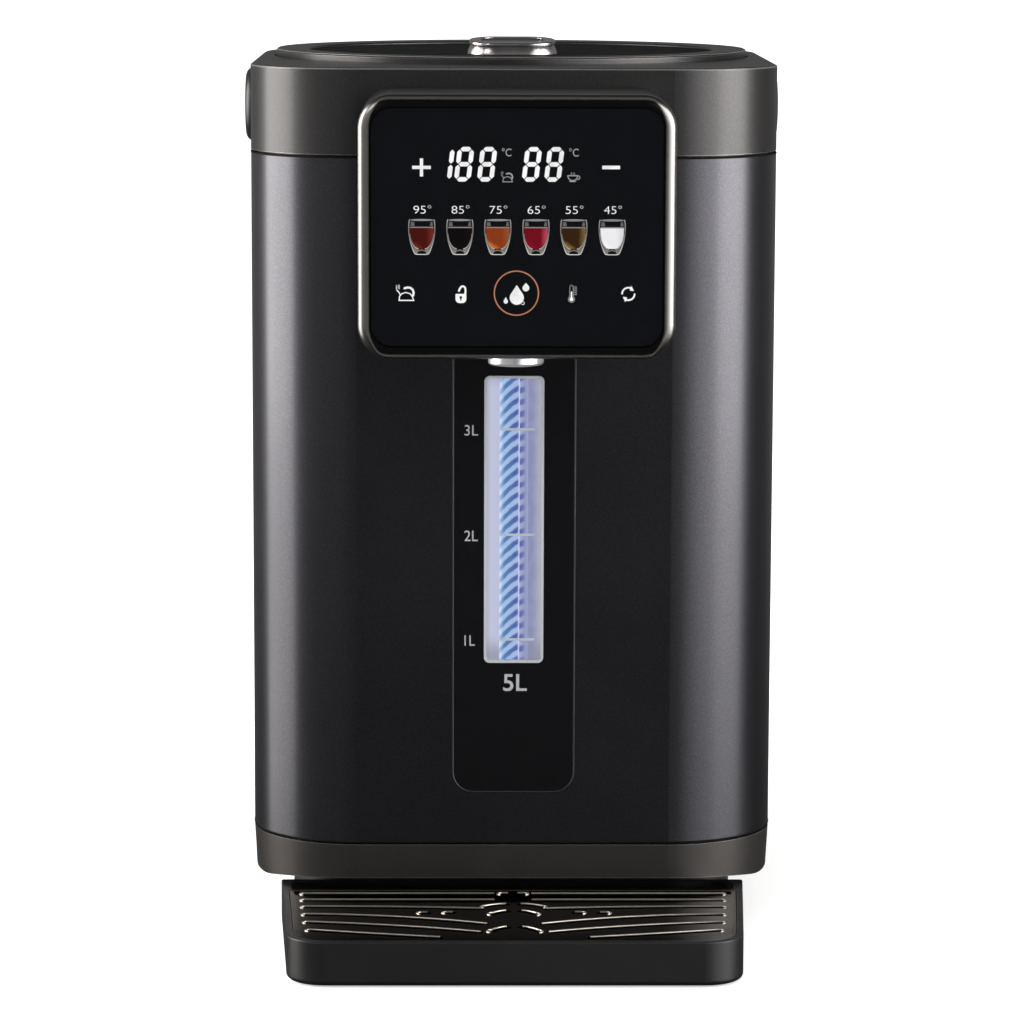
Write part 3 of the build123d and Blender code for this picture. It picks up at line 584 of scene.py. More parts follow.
def start_group(
    name: str, inputs: dict[str, tuple[Kind, object]], outputs: dict[str, Kind],
    tree_kind: str = "ShaderNodeTree",
) -> tuple[Graph, Sockets, Sockets]:
    """Start a node group.

    Args:
        name: The group's name.
        inputs: Each input's kind and first value, by name.
        outputs: Each output's kind, by name.
        tree_kind: A shader tree or a geometry tree.

    Returns:
        The group's graph, what it is given, and what it puts out.
    """
    tree = bpy.data.node_groups.new(name, tree_kind)
    for label, (kind, value) in inputs.items():
        socket = tree.interface.new_socket(name=label, in_out="INPUT", socket_type=kind.value)
        if value is not None:
            socket.default_value = value
    for label, kind in outputs.items():
        tree.interface.new_socket(name=label, in_out="OUTPUT", socket_type=kind.value)
    graph = Graph(tree)
    return graph, graph.add("NodeGroupInput").outputs, graph.add("NodeGroupOutput").inputs


class Effects:
    """Shader groups that several finishes share. Each is built once."""

    @cached_property
    def grain(self) -> Tree:
        """Fine relief and tone of a sprayed, moulded or brushed surface."""
        graph, given, out = start_group(
            "surface_grain",
            {"Place": PLACE_INPUT, "Stretch": (Kind.VECTOR, (1, 1, 1)), "Scale": (Kind.NUMBER, 900.0)},
            {"Height": Kind.NUMBER, "Tone": Kind.NUMBER},
        )
        stretched = graph.add(
            "ShaderNodeVectorMath", {0: given["Place"], 1: given["Stretch"]}, operation="MULTIPLY"
        ).outputs[0]
        fine = graph.noise(stretched, given["Scale"], 3.0)
        broad = graph.noise(stretched, graph.times(given["Scale"], 0.21), 1.0)
        graph.feed(out["Height"], graph.plus(fine, graph.times(broad, 0.6)))
        graph.feed(out["Tone"], graph.ramp(fine, 0.3, 0.7, 0.0, 1.0))
        return graph.tree

    @cached_property
    def film(self) -> Tree:
        """Roughness that drifts between clean and handled patches."""
        graph, given, out = start_group(
            "handling_film",
            {"Place": PLACE_INPUT, "Clean": (Kind.NUMBER, 0.3), "Handled": (Kind.NUMBER, 0.4)},
            {"Roughness": Kind.NUMBER},
        )
        patches = graph.noise(given["Place"], 14.0, 4.0)
        streaks = graph.noise(given["Place"], 90.0, 2.0)
        mask = graph.ramp(graph.plus(graph.times(streaks, 0.3), patches), 0.5, 0.85, 0.0, 1.0)
        span = graph.minus(given["Handled"], given["Clean"])
        graph.feed(out["Roughness"], graph.math("MULTIPLY_ADD", mask, span, given["Clean"]))
        return graph.tree

    @cached_property
    def flake(self) -> Tree:
        """Metal flakes that lie in a lacquer."""
        graph, given, out = start_group(
            "lacquer_flake",
            {"Place": PLACE_INPUT, "Base": BASE_INPUT, "Flake": PALE_INPUT, "Share": (Kind.NUMBER, 0.2),
             "Scale": (Kind.NUMBER, 5200.0)},
            {"Colour": Kind.COLOUR},
        )
        cells = graph.add("ShaderNodeTexVoronoi", {"Vector": given["Place"], "Scale": given["Scale"]})
        chance = graph.add("ShaderNodeSeparateColor", {0: cells.outputs["Color"]}).outputs[0]
        mask = graph.times(graph.math("LESS_THAN", chance, given["Share"]), 0.6)
        graph.feed(out["Colour"], graph.mix(mask, given["Base"], given["Flake"]))
        return graph.tree

    @cached_property
    def edges(self) -> Tree:
        """A lighter tone along edges: a painted edge highlight."""
        graph, given, out = start_group(
            "painted_edge_highlight",
            {"Base": BASE_INPUT, "Highlight": PALE_INPUT, "Reach": (Kind.NUMBER, 0.0006),
             "Amount": (Kind.NUMBER, 0.5)},
            {"Colour": Kind.COLOUR},
        )
        soft = graph.add("ShaderNodeBevel", {"Radius": given["Reach"]}, samples=4).outputs[0]
        plain = graph.add("ShaderNodeNewGeometry").outputs["Normal"]
        match = graph.add("ShaderNodeVectorMath", {0: soft, 1: plain}, operation="DOT_PRODUCT")
        turn = graph.ramp(match.outputs["Value"], 0.86, 0.995, 1.0, 0.0)
        mask = graph.times(turn, given["Amount"])
        graph.feed(out["Colour"], graph.mix(mask, given["Base"], given["Highlight"]))
        return graph.tree

    @cached_property
    def dust(self) -> Tree:
        """A thin veil of dust on faces that look up."""
        graph, given, out = start_group(
            "dust_veil",
            {"Place": PLACE_INPUT, "Base": BASE_INPUT, "Amount": (Kind.NUMBER, 0.05)},
            {"Colour": Kind.COLOUR},
        )
        up = graph.add("ShaderNodeSeparateXYZ", {0: graph.add("ShaderNodeNewGeometry").outputs["Normal"]})
        facing = graph.ramp(up.outputs["Z"], 0.6, 1.0, 0.0, 1.0)
        clouds = graph.ramp(graph.noise(given["Place"], 60.0, 5.0), 0.35, 0.75, 0.2, 1.0)
        specks = graph.math("GREATER_THAN", graph.noise(given["Place"], 1500.0, 1.0), 0.73)
        cover = graph.plus(clouds, graph.times(specks, 2.0))
        mask = graph.times(graph.times(facing, cover), given["Amount"])
        graph.feed(out["Colour"], graph.mix(mask, given["Base"], rgba(srgb(176, 172, 166))))
        return graph.tree

    @cached_property
    def uneven_glow(self) -> Tree:
        """A light colour with the soft unevenness of a lit diffuser."""
        graph, given, out = start_group(
            "uneven_glow",
            {"Place": PLACE_INPUT, "Bright": (Kind.COLOUR, rgba(grey(1.0))),
             "Dim": (Kind.COLOUR, rgba(grey(0.8))), "Scale": (Kind.NUMBER, 300.0)},
            {"Colour": Kind.COLOUR},
        )
        mask = graph.ramp(graph.noise(given["Place"], given["Scale"]), 0.3, 0.7, 0.0, 1.0)
        graph.feed(out["Colour"], graph.mix(mask, given["Bright"], given["Dim"]))
        return graph.tree


class Trees:
    """Geometry trees that pieces grow from. Each is built once."""

    @cached_property
    def bead(self) -> Tree:
        """A round bead laid along the edges of a mesh of lines."""
        graph, given, out = start_group(
            "bead_along_lines",
            {"Lines": (Kind.SHAPE, None), "Radius": (Kind.NUMBER, 0.0003), "Sides": (Kind.COUNT, 8),
             "Finish": FINISH_INPUT},
            {"Bead": Kind.SHAPE}, "GeometryNodeTree",
        )
        paths = graph.add("GeometryNodeMeshToCurve", {"Mesh": given["Lines"]})
        ring = graph.add(
            "GeometryNodeCurvePrimitiveCircle", {"Resolution": given["Sides"], "Radius": given["Radius"]}
        )
        bead = graph.add(
            "GeometryNodeCurveToMesh",
            {"Curve": paths.outputs[0], "Profile Curve": ring.outputs[0], "Fill Caps": True},
        )
        return self._finished(graph, given, out, bead.outputs[0])

    @cached_property
    def row(self) -> Tree:
        """One shape repeated in a straight row."""
        graph, given, out = start_group(
            "repeat_in_row",
            {"Shape": (Kind.SHAPE, None), "Count": (Kind.COUNT, 3), "Step": (Kind.VECTOR, (0, 0, 0.01)),
             "Finish": FINISH_INPUT},
            {"Row": Kind.SHAPE}, "GeometryNodeTree",
        )
        places = graph.add(
            "GeometryNodeMeshLine", {"Count": given["Count"], "Offset": given["Step"]}, mode="OFFSET"
        )
        copies = graph.add(
            "GeometryNodeInstanceOnPoints", {"Points": places.outputs[0], "Instance": given["Shape"]}
        )
        return self._finished(graph, given, out, copies.outputs[0])

    @staticmethod
    def _finished(graph: Graph, given: Sockets, out: Sockets, shape: Socket) -> Tree:
        """End a tree: its instances are made real and given their finish.

        Args:
            graph: The tree's graph.
            given: What the tree is given.
            out: What it puts out.
            shape: The shape that it has made.

        Returns:
            The tree.
        """
        real = graph.add("GeometryNodeRealizeInstances", {"Geometry": shape})
        done = graph.add(
            "GeometryNodeSetMaterial", {"Geometry": real.outputs[0], "Material": given["Finish"]}
        )
        graph.feed(out[0], done.outputs[0])
        return graph.tree


def grown(tree: Tree, seed: Mesh, values: dict[str, object]) -> Mesh:
    """Run a geometry tree on a mesh.

    Args:
        tree: The tree.
        seed: The mesh that it starts from. It is removed.
        values: The tree's inputs, by name.

    Returns:
        The result as a plain mesh.
    """
    carrier = bpy.data.objects.new("seed", seed)
    growth = carrier.modifiers.new("growth", "NODES")
    growth.node_group = tree
    for socket in tree.interface.items_tree:
        if socket.item_type == "SOCKET" and socket.in_out == "INPUT" and socket.name in values:
            growth[socket.identifier] = values[socket.name]
    mesh = baked(carrier)
    bpy.data.meshes.remove(seed)
    return shaded(mesh, BEAD_SHARP)


# Finishes ------------------------------------------------------------------------------


class Coat(Graph):
    """The graph of a new material, with its shader and the place on the piece."""

    def __init__(self, name: str) -> None:
        """Start a material.

        Args:
            name: The material's name.
        """
        self.material = bpy.data.materials.new(name)
        self.material.use_nodes = True
        super().__init__(self.material.node_tree)
        self.shader = self.tree.nodes["Principled BSDF"]
        self.place = self.add("ShaderNodeTexCoord").outputs["Object"]

    def along(self, axis: str) -> Socket:
        """The place along one axis of the piece, in millimetres."""
        parts = self.add("ShaderNodeSeparateXYZ", {0: self.place})
        return self.times(parts.outputs[axis], 1 / MM)

    def give(self, values: dict[str, object]) -> None:
        """Feed the shader's inputs with plain values or sockets, by name."""
        for name, value in values.items():
            self.feed(self.shader.inputs[name], value)


@dataclass(frozen=True)
class Grain:
    """Fine relief: its scale in features per metre, its depth and its stretch along each axis."""

    scale: float = 900.0
    depth: float = 0.01
    stretch: Point3 = (1.0, 1.0, 1.0)


@dataclass(frozen=True)
class Finish:
    """A painted, moulded, plated or soft surface."""

    name: str
    base: Colour
    tone: float = 0.12
    metallic: float = 0.0
    clean: float = 0.35
    handled: float = 0.42
    # the lighter colour along edges, with its share in edge, is a painted edge highlight
    edge_highlight: Colour = (0.2, 0.2, 0.2)
    edge: float = 0.0
    reach: float = 0.6
    grain: Grain = Grain()
    flake: Colour = (0.2, 0.2, 0.2)
    flake_share: float = 0.0
    dust: float = 0.0
    coat: float = 0.0
    coat_roughness: float = 0.08
    specular: float = 0.5
    sheen: float = 0.0
    glow: Colour = (0.0, 0.0, 0.0)
    glow_strength: float = 0.0
    glow_dip: ClassVar[float] = 0.82
    glow_scale: ClassVar[float] = 220.0

    def make(self, effects: Effects) -> Material:
        """Build the material.

        Args:
            effects: The shared effects.

        Returns:
            The material.
        """
        coat = Coat(self.name)
        place = coat.place
        grain = coat.group(effects.grain, Place=place, Stretch=self.grain.stretch, Scale=self.grain.scale)
        colour = coat.mix(grain["Tone"], rgba(self.base), rgba(dimmed(self.base, 1 - self.tone)))
        if self.flake_share:
            flakes = {"Place": place, "Base": colour, "Flake": rgba(self.flake), "Share": self.flake_share}
            colour = coat.group(effects.flake, **flakes)["Colour"]
        # painted edge highlight: a lighter tone along the edges
        if self.edge:
            edges = {"Base": colour, "Highlight": rgba(self.edge_highlight), "Reach": self.reach * MM, "Amount": self.edge}
            colour = coat.group(effects.edges, **edges)["Colour"]
        if self.dust:
            colour = coat.group(effects.dust, Place=place, Base=colour, Amount=self.dust)["Colour"]
        film = coat.group(effects.film, Place=place, Clean=self.clean, Handled=self.handled)
        relief = {"Height": grain["Height"], "Distance": self.grain.depth * MM, "Strength": 1.0}
        coat.give({
            "Base Color": colour, "Roughness": film["Roughness"],
            "Normal": coat.add("ShaderNodeBump", relief).outputs["Normal"], "Metallic": self.metallic,
            "Coat Weight": self.coat, "Coat Roughness": self.coat_roughness,
            "Specular IOR Level": self.specular, "Sheen Weight": self.sheen,
            "Emission Strength": self.glow_strength,
        })
        if self.glow_strength:
            light = coat.group(
                effects.uneven_glow, Place=place, Bright=rgba(self.glow),
                Dim=rgba(dimmed(self.glow, self.glow_dip)), Scale=self.glow_scale,
            )
            coat.give({"Emission Color": light["Colour"]})
        coat.material.diffuse_color = rgba(self.base)
        return coat.material


@dataclass(frozen=True)
class ClearFinish:
    """Clear polished plastic or glass with a faint tint."""

    name: str
    tint: Colour = (0.96, 0.97, 1.0)
    ior: float = 1.2
    roughness: float = 0.02
    handled_more: ClassVar[float] = 2.5

    def make(self, effects: Effects) -> Material:
        """Build the material: transmission and Metallic stay plain, and only the gloss varies.

        Args:
            effects: The shared effects.

        Returns:
            The material.
        """
        coat = Coat(self.name)
        film = coat.group(
            effects.film, Place=coat.place, Clean=self.roughness, Handled=self.roughness * self.handled_more
        )
        coat.give({
            "Roughness": film["Roughness"], "Base Color": rgba(self.tint), "IOR": self.ior,
            "Transmission Weight": 1.0,
        })
        return coat.material


class LitFinish:
    """A surface that glows by itself, with a tone that follows the place on the piece."""

    name: str
    body: ClassVar[Colour] = grey(0.002)
    specular: ClassVar[float] = 0.2
    roughness: ClassVar[float] = 0.1

    def make(self, effects: Effects) -> Material:
        """Build the material.

        Args:
            effects: The shared effects, which a lit surface has no need of.

        Returns:
            The material.
        """
        coat = Coat(self.name)
        coat.give({
            "Base Color": rgba(self.body), "Specular IOR Level": self.specular, "Emission Strength": 1.0,
            "Roughness": self.roughness, "Emission Color": self.light(coat),
        })
        return coat.material

    def light(self, coat: Coat) -> Socket:
        """The colour that it gives off. Each kind has its own."""
        raise NotImplementedError


@dataclass(frozen=True)
class ChannelFinish(LitFinish):
    """The lit channel behind the window: lavender light that fades away from its left edge."""

    name: str = "lit_channel"
    stops: Stops = (
        (-10.4, (174, 178, 192)), (-8.6, (193, 198, 217)), (-6.2, (191, 194, 217)),
        (5.2, (138, 144, 180)), (7.4, (138, 143, 176)), (9.2, (158, 161, 186)), (10.4, (172, 174, 184)),
    )
    cloud: Colour = srgb(206, 190, 222)
    end: Colour = srgb(142, 144, 160)
    middle: float = 163.5
    dim_from: float = 48.0
    dim_over: float = 9.0
    roughness: ClassVar[float] = 0.6

    def light(self, coat: Coat) -> Socket:
        """Its colour across the window, clouded a little and duller towards both ends.

        Args:
            coat: The material's graph.

        Returns:
            The colour.
        """
        shade = coat.bands(coat.along("X"), self.stops)
        cloud = coat.ramp(coat.noise(coat.place, 260.0), 0.35, 0.65, 0.0, 0.12)
        shade = coat.mix(cloud, shade, rgba(self.cloud))
        reach = coat.math("ABSOLUTE", coat.minus(coat.along("Z"), self.middle))
        ends = coat.ramp(reach, self.dim_from, self.dim_from + self.dim_over, 0.0, 0.75)
        return coat.mix(ends, shade, rgba(self.end))


@dataclass(frozen=True)
class FadingPrint(LitFinish):
    """Lit print whose tone changes with its height above a foot line."""

    name: str
    foot: float
    stops: Stops
    roughness: ClassVar[float] = 0.2

    def light(self, coat: Coat) -> Socket:
        """Its colour, by a height that drifts a little."""
        drift = coat.times(coat.noise(coat.place, 500.0), 1.4)
        return coat.bands(coat.plus(coat.minus(coat.along("Z"), self.foot), drift), self.stops)


@dataclass(frozen=True)
class StripeFinish(LitFinish):
    """The striped print as the water in the level tube shows it."""

    name: str = "level_stripes"
    pitch: float = 4.6
    slope: float = 0.62
    curve: float = 0.07
    split: float = 1.4
    aside: float = 0.6
    beyond_shift: float = 0.3
    dark: Stops = (
        (-5.5, (140, 176, 214)), (-4.2, (76, 122, 172)), (-1.6, (70, 104, 166)), (0.2, (62, 84, 156)),
        (1.1, (82, 108, 172)), (1.9, (84, 92, 162)), (3.3, (112, 118, 176)), (3.9, (146, 152, 188)),
        (5.5, (138, 145, 184)),
    )
    pale: Stops = (
        (-5.5, (206, 214, 238)), (-4.8, (170, 198, 234)), (-1.4, (166, 190, 228)), (1.0, (172, 188, 226)),
        (1.9, (164, 172, 208)), (3.8, (148, 154, 188)), (5.5, (138, 145, 184)),
    )
    painted_glint: Colour = srgb(208, 218, 246)

    def light(self, coat: Coat) -> Socket:
        """Slanted dark and pale bands, a painted highlight where they split, and a paler side beyond it.

        Args:
            coat: The material's graph.

        Returns:
            The colour.
        """
        across = coat.minus(coat.along("X"), self.aside)
        wobble = coat.times(coat.noise(coat.place, 420.0, 1.0), 0.9)
        level = coat.minus(coat.plus(coat.along("Z"), wobble), coat.times(across, self.slope))
        bend = coat.times(coat.times(across, across), self.curve)
        beyond = coat.times(coat.math("GREATER_THAN", across, self.split), self.beyond_shift)
        turns = coat.plus(coat.math("DIVIDE", coat.plus(level, bend), self.pitch), beyond)
        wave = coat.math("ABSOLUTE", coat.minus(coat.math("FRACT", turns), 0.5))
        band = coat.ramp(wave, 0.13, 0.36, 0.95, 0.05)
        shade = coat.mix(band, coat.bands(across, self.pale), coat.bands(across, self.dark))
        # A painted highlight runs where the bands split.
        offset = coat.math("ABSOLUTE", coat.minus(across, self.split))
        return coat.mix(coat.ramp(offset, 0.1, 0.4, 0.8, 0.0), shade, rgba(self.painted_glint))


@dataclass(frozen=True)
class DrinkFinish(LitFinish):
    """A lit picture of a drink: deep in the middle, paler at one side and at its foot."""

    name: str
    middle: float
    foot_height: float
    deep: Colour
    side: Colour
    foot: Colour
    slant: ClassVar[float] = 0.7

    def light(self, coat: Coat) -> Socket:
        """Its deep colour, run into that of its side and of its foot.

        Args:
            coat: The material's graph.

        Returns:
            The colour.
        """
        aside = coat.minus(coat.along("X"), self.middle)
        drift = coat.times(coat.noise(coat.place, 700.0), 1.6)
        toward = coat.ramp(coat.plus(aside, drift), 2.0, 5.6, 0.0, 1.0)
        shade = coat.mix(toward, rgba(self.deep), rgba(self.side))
        reach = coat.plus(coat.minus(coat.along("Z"), self.foot_height), coat.times(aside, self.slant))
        low = coat.ramp(coat.plus(reach, drift), -0.6, 2.4, 1.0, 0.0)
        return coat.mix(low, shade, rgba(self.foot))


@dataclass(frozen=True)
class RimHighlightFinish:
    """Plating on a rounded frame, with painted light: a painted highlight of bright metal along its outer
    edge, wider at the sides, and painted black shade beside the glass.
    """

    name: str
    half_width: float
    half_height: float
    middle: float
    corner: float
    bright: Colour
    dark: Colour = grey(0.003)
    highlight_width: float = 0.7
    fade: float = 1.5
    side_highlight_extra: float = 2.6

    def make(self, effects: Effects) -> Material:
        """Build the material.

        Args:
            effects: The shared effects, which the rim has no need of.

        Returns:
            The material.
        """
        coat = Coat(self.name)
        across, rise = coat.along("X"), coat.minus(coat.along("Z"), self.middle)
        past = []
        for value, half in ((across, self.half_width), (rise, self.half_height)):
            beyond = coat.math("MAXIMUM", coat.minus(coat.math("ABSOLUTE", value), half - self.corner), 0.0)
            past.append(coat.times(beyond, beyond))
        depth = coat.minus(self.corner, coat.math("POWER", coat.plus(*past), 0.5))
        drift = coat.times(coat.noise(coat.place, 300.0), 0.3)
        # the painted highlight band is made wider at the sides
        side_highlight = coat.ramp(
            coat.math("ABSOLUTE", across), self.half_width - 9.0, self.half_width - 3.0, 0.0, self.side_highlight_extra
        )
        reach = coat.minus(coat.plus(depth, drift), side_highlight)
        # share is 1 in the painted highlight along the outer edge and 0 in the painted black shade beside
        # the glass
        share = coat.ramp(reach, self.highlight_width, self.highlight_width + self.fade, 1.0, 0.0)
        coat.give({
            "Base Color": coat.mix(share, rgba(self.dark), rgba(self.bright)), "Metallic": share,
            "Roughness": coat.ramp(share, 0.0, 1.0, 0.12, 0.3), "Specular IOR Level": 0.2,
            "Emission Strength": 0.0,
        })
        return coat.material


AnyFinish = Finish | ClearFinish | LitFinish | RimHighlightFinish


# Studio --------------------------------------------------------------------------------


@dataclass
class Lamp:
    """A rectangular softbox: where it stands, where it aims, its size and its brightness."""

    name: str
    place: Point3
    aim: Point3
    width: float
    height: float
    radiance: float
    colour: Colour = (1.0, 1.0, 1.0)
    mirrored: bool = True

    def build(self) -> None:
        """Make the lamp. Its power follows from its radiance and area."""
        data = bpy.data.lights.new(self.name, "AREA")
        data.shape = "RECTANGLE"
        data.size = self.width * MM
        data.size_y = self.height * MM
        data.energy = self.radiance * math.pi * data.size * data.size_y
        data.color = self.colour
        lamp = bpy.data.objects.new(self.name, data)
        bpy.context.scene.collection.objects.link(lamp)
        place = Vector(self.place) * MM
        lamp.location = place
        lamp.rotation_euler = (Vector(self.aim) * MM - place).to_track_quat("-Z", "Y").to_euler()
        lamp.visible_glossy = self.mirrored


@dataclass
class Studio:
    """Camera, softboxes, pale floor and surroundings."""

    lens: float = 144.81
    sensor: float = 36.0
    distance: float = 1685.5
    eye_height: float = 402.0
    pitch: float = 8.53
    yaw: float = 0.75
    roll: float = 0.19
    shift: float = 0.75
    floor_reach: float = 30000.0
    floor_drop: float = 0.05
    room_level: float = 0.03
    soft_level: float = 0.45

    def build(self) -> None:
        """Set up everything that isn't part of the pot."""
        self.camera()
        for lamp in self.lamps():
            lamp.build()
        self.world()
        self.floor()
        bpy.context.scene.view_settings.view_transform = "Standard"

    def camera(self) -> None:
        """Stand the camera in front of the pot, a little to its left, looking slightly down."""
        middle = Span.of("body_shell").middle
        data = bpy.data.cameras.new("camera")
        data.lens = self.lens
        data.sensor_width = self.sensor
        data.clip_start = 0.05
        data.clip_end = 100.0
        camera = bpy.data.objects.new("camera", data)
        bpy.context.scene.collection.objects.link(camera)
        turn = math.radians(self.yaw)
        back = math.cos(turn) * self.distance
        place = Vector((self.shift - math.sin(turn) * self.distance, middle.y - back, self.eye_height))
        aim = Matrix.Rotation(-turn, 4, "Z") @ Matrix.Rotation(math.radians(90 - self.pitch), 4, "X")
        tilt = Matrix.Rotation(math.radians(self.roll), 4, "Z")
        camera.matrix_world = Matrix.Translation(place * MM) @ aim @ tilt
        bpy.context.scene.camera = camera

    def lamps(self) -> list[Lamp]:
        """The softboxes: a tall pair at each side, and three high in front."""
        warm = (1.0, 0.98, 0.955)
        return [
            Lamp("left_softbox", (-1145, 20, 435), (-95, -50, 435), 840, 1330, 3.6, warm),
            Lamp("left_upper_softbox", (-1135, 19, 580), (-95, -50, 580), 840, 1040, 4.0, warm),
            Lamp("right_softbox", (1070, -440, 435), (90, -50, 435), 660, 1330, 1.15, warm),
            Lamp("right_upper_softbox", (1060, -436, 580), (90, -50, 580), 660, 1040, 3.2, warm),
            Lamp("left_front_softbox", (-800, -900, 1080), (0, -80, 150), 380, 380, 6.0),
            Lamp("right_front_softbox", (800, -900, 1080), (0, -80, 150), 380, 380, 6.0),
            Lamp("front_fill", (-300, -1700, 1200), (0, 0, 200), 900, 900, 0.9, mirrored=False),
        ]

    def world(self) -> None:
        """White to the camera; to glossy surfaces a dark room with a paler wall behind the pot."""
        world = bpy.data.worlds.new("surroundings")
        world.use_nodes = True
        bpy.context.scene.world = world
        graph = Graph(world.node_tree)
        world.node_tree.nodes.clear()
        texture = graph.add("ShaderNodeTexCoord").outputs["Generated"]
        way = graph.add("ShaderNodeSeparateXYZ", {0: texture}).outputs
        low_edge = graph.ramp(way["Z"], -0.28, -0.06, 0.0, 1.0)
        high_edge = graph.ramp(way["Z"], 0.25, 0.6, 1.0, 0.0)
        ahead = graph.ramp(way["Y"], -0.2, 0.15, 1.0, 0.0)
        left = graph.ramp(graph.times(way["X"], -1.0), 0.02, 0.25, 0.0, 0.45)
        right = graph.ramp(way["X"], 0.06, 0.75, 0.0, 4.6)
        behind = graph.ramp(way["Y"], -0.1, 0.35, 0.0, 0.14)
        walls = graph.plus(graph.times(graph.plus(left, right), ahead), behind)
        level = graph.plus(graph.times(walls, graph.times(low_edge, high_edge)), self.room_level)
        shown = graph.add("ShaderNodeCombineColor", {0: level, 1: level, 2: level}).outputs[0]
        path = graph.add("ShaderNodeLightPath").outputs
        mirror = graph.math("MAXIMUM", path["Is Glossy Ray"], path["Is Transmission Ray"])
        diffuse = graph.mix(mirror, rgba(grey(self.soft_level)), shown)
        colour = graph.mix(path["Is Camera Ray"], diffuse, rgba(grey(1.0)))
        light = graph.add("ShaderNodeBackground", {"Color": colour, "Strength": 1.0})
        graph.add("ShaderNodeOutputWorld", {"Surface": light.outputs[0]})

    def floor(self) -> None:
        """A wide pale floor that keeps the pot's shadow and turns white away from it."""
        solid = bmesh.new()
        reach = self.floor_reach
        corners = box(-reach, -reach, reach, reach)
        solid.faces.new([solid.verts.new((x, y, -self.floor_drop)) for x, y in corners])
        floor = bpy.data.objects.new("floor", finish_mesh("floor", solid))
        bpy.context.scene.collection.objects.link(floor)
        coat = Coat("pale_floor")
        away = coat.add("ShaderNodeVectorMath", {0: coat.place}, operation="LENGTH").outputs["Value"]
        seen = coat.add("ShaderNodeLightPath").outputs["Is Camera Ray"]
        coat.give({
            "Base Color": coat.mix(coat.noise(coat.place, 900.0, 3.0), rgba(grey(0.9)), rgba(grey(0.86))),
            "Roughness": 0.9, "Specular IOR Level": 0.1, "Emission Color": rgba(grey(1.0)),
            "Emission Strength": coat.times(seen, coat.ramp(away, 0.15, 0.45, 0.5, 1.0)),
        })
        floor.data.materials.append(coat.material)
        floor.visible_glossy = False
        floor.visible_shadow = False


# Fitting -------------------------------------------------------------------------------


class Bench:
    """Holds the finishes and fits each piece to the pot."""

    def __init__(self) -> None:
        """Start with no material made."""
        self.effects = Effects()
        self.trees = Trees()
        self.made: dict[str, Material] = {}

    def material(self, finish: AnyFinish) -> Material:
        """The material of a finish, made once.

        Args:
            finish: The finish.

        Returns:
            The material.
        """
        if finish.name not in self.made:
            self.made[finish.name] = finish.make(self.effects)
        return self.made[finish.name]

    def coat(self, node: str, finish: AnyFinish) -> None:
        """Give a carried-over node of the model its finish.

        Args:
            node: The node's name.
            finish: Its finish.
        """
        for place in frame["nodes"][node].material_slots:
            place.material = self.material(finish)
        log.info("dressed %s in %s", node, finish.name)

    def bead(
        self, paths: Iterable[Path], radius: float, finish: AnyFinish, facing: Facing = Facing.UP,
    ) -> Mesh:
        """Lay a round bead along paths.

        Args:
            paths: The points of each path, and whether it is closed.
            radius: The bead's radius.
            finish: Its finish.
            facing: The way the paths face.

        Returns:
            The bead, in metres and in place.
        """
        values = {"Radius": radius * MM, "Finish": self.material(finish)}
        return grown(self.trees.bead, lines(paths, facing), values)

    def fit(self, name: str, mesh: Mesh, finish: AnyFinish, body: str, slot: str) -> None:
        """Add a piece to the pot.

        Args:
            name: The piece's name.
            mesh: Its finished mesh, in metres and in place.
            finish: Its finish.
            body: The body it moves with.
            slot: A material slot of the record; not used.
        """
        mesh.name = name
        mesh.materials.clear()
        mesh.materials.append(self.material(finish))
        piece = bpy.data.objects.new(name, mesh)
        bpy.context.scene.collection.objects.link(piece)
        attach(piece, body)
        log.info("fitted %s: %d faces on %s", name, len(mesh.polygons), body)


# The pot's finishes --------------------------------------------------------------------

# Where a finish has a lighter edge colour, that tone along its edges is a painted edge highlight.
GUNMETAL = Finish(
    "gunmetal_satin", srgb(57, 56, 56), metallic=0.8, clean=0.36, handled=0.39, coat=0.2,
    coat_roughness=0.2, edge_highlight=srgb(176, 172, 168), edge=0.6, reach=0.5, grain=Grain(1500, 0.002),
    flake=srgb(73, 71, 70), flake_share=0.2,
)
# A lighter copy of the gunmetal finish for the base band: painted light, brighter than the collar of the
# same metal.
BAND_PAINTED_LIGHT = replace(GUNMETAL, name="band_metal", base=srgb(76, 73, 71))
LACQUER = Finish(
    "midnight_lacquer", srgb(57, 56, 60), metallic=0.94, clean=0.29, handled=0.32, coat=0.4,
    coat_roughness=0.2, grain=Grain(1300, 0.0015), flake=srgb(74, 74, 80), flake_share=0.2,
)
DARK_PLASTIC = Finish("dark_plastic", srgb(34, 34, 36), clean=0.5, handled=0.56, grain=Grain(1400, 0.02))
RUBBER = Finish("foot_rubber", srgb(26, 26, 26), clean=0.75, handled=0.85, grain=Grain(900, 0.03))
ZINC = Finish(
    "screw_steel", srgb(176, 176, 180), metallic=1.0, clean=0.3, handled=0.42, grain=Grain(1200, 0.006),
)
GLOSS_BLACK = Finish(
    "gloss_black", srgb(16, 16, 18), clean=0.06, handled=0.11, grain=Grain(260, 0.001),
    edge_highlight=srgb(60, 62, 66), edge=0.5, reach=0.5, coat=0.3, coat_roughness=0.03,
)
SILVER = Finish(
    "silver_trim", srgb(186, 188, 190), tone=0.06, clean=0.4, handled=0.46, grain=Grain(1800, 0.004),
    specular=0.3,
)
BLACK_GLASS = Finish(
    "black_glass", srgb(13, 14, 17), clean=0.04, handled=0.09, grain=Grain(120, 0.0005), coat=0.2,
    coat_roughness=0.02,
)
BEZEL = RimHighlightFinish("bezel_metal", 58.6, 48.65, 280.95, 12.0, srgb(134, 132, 129))
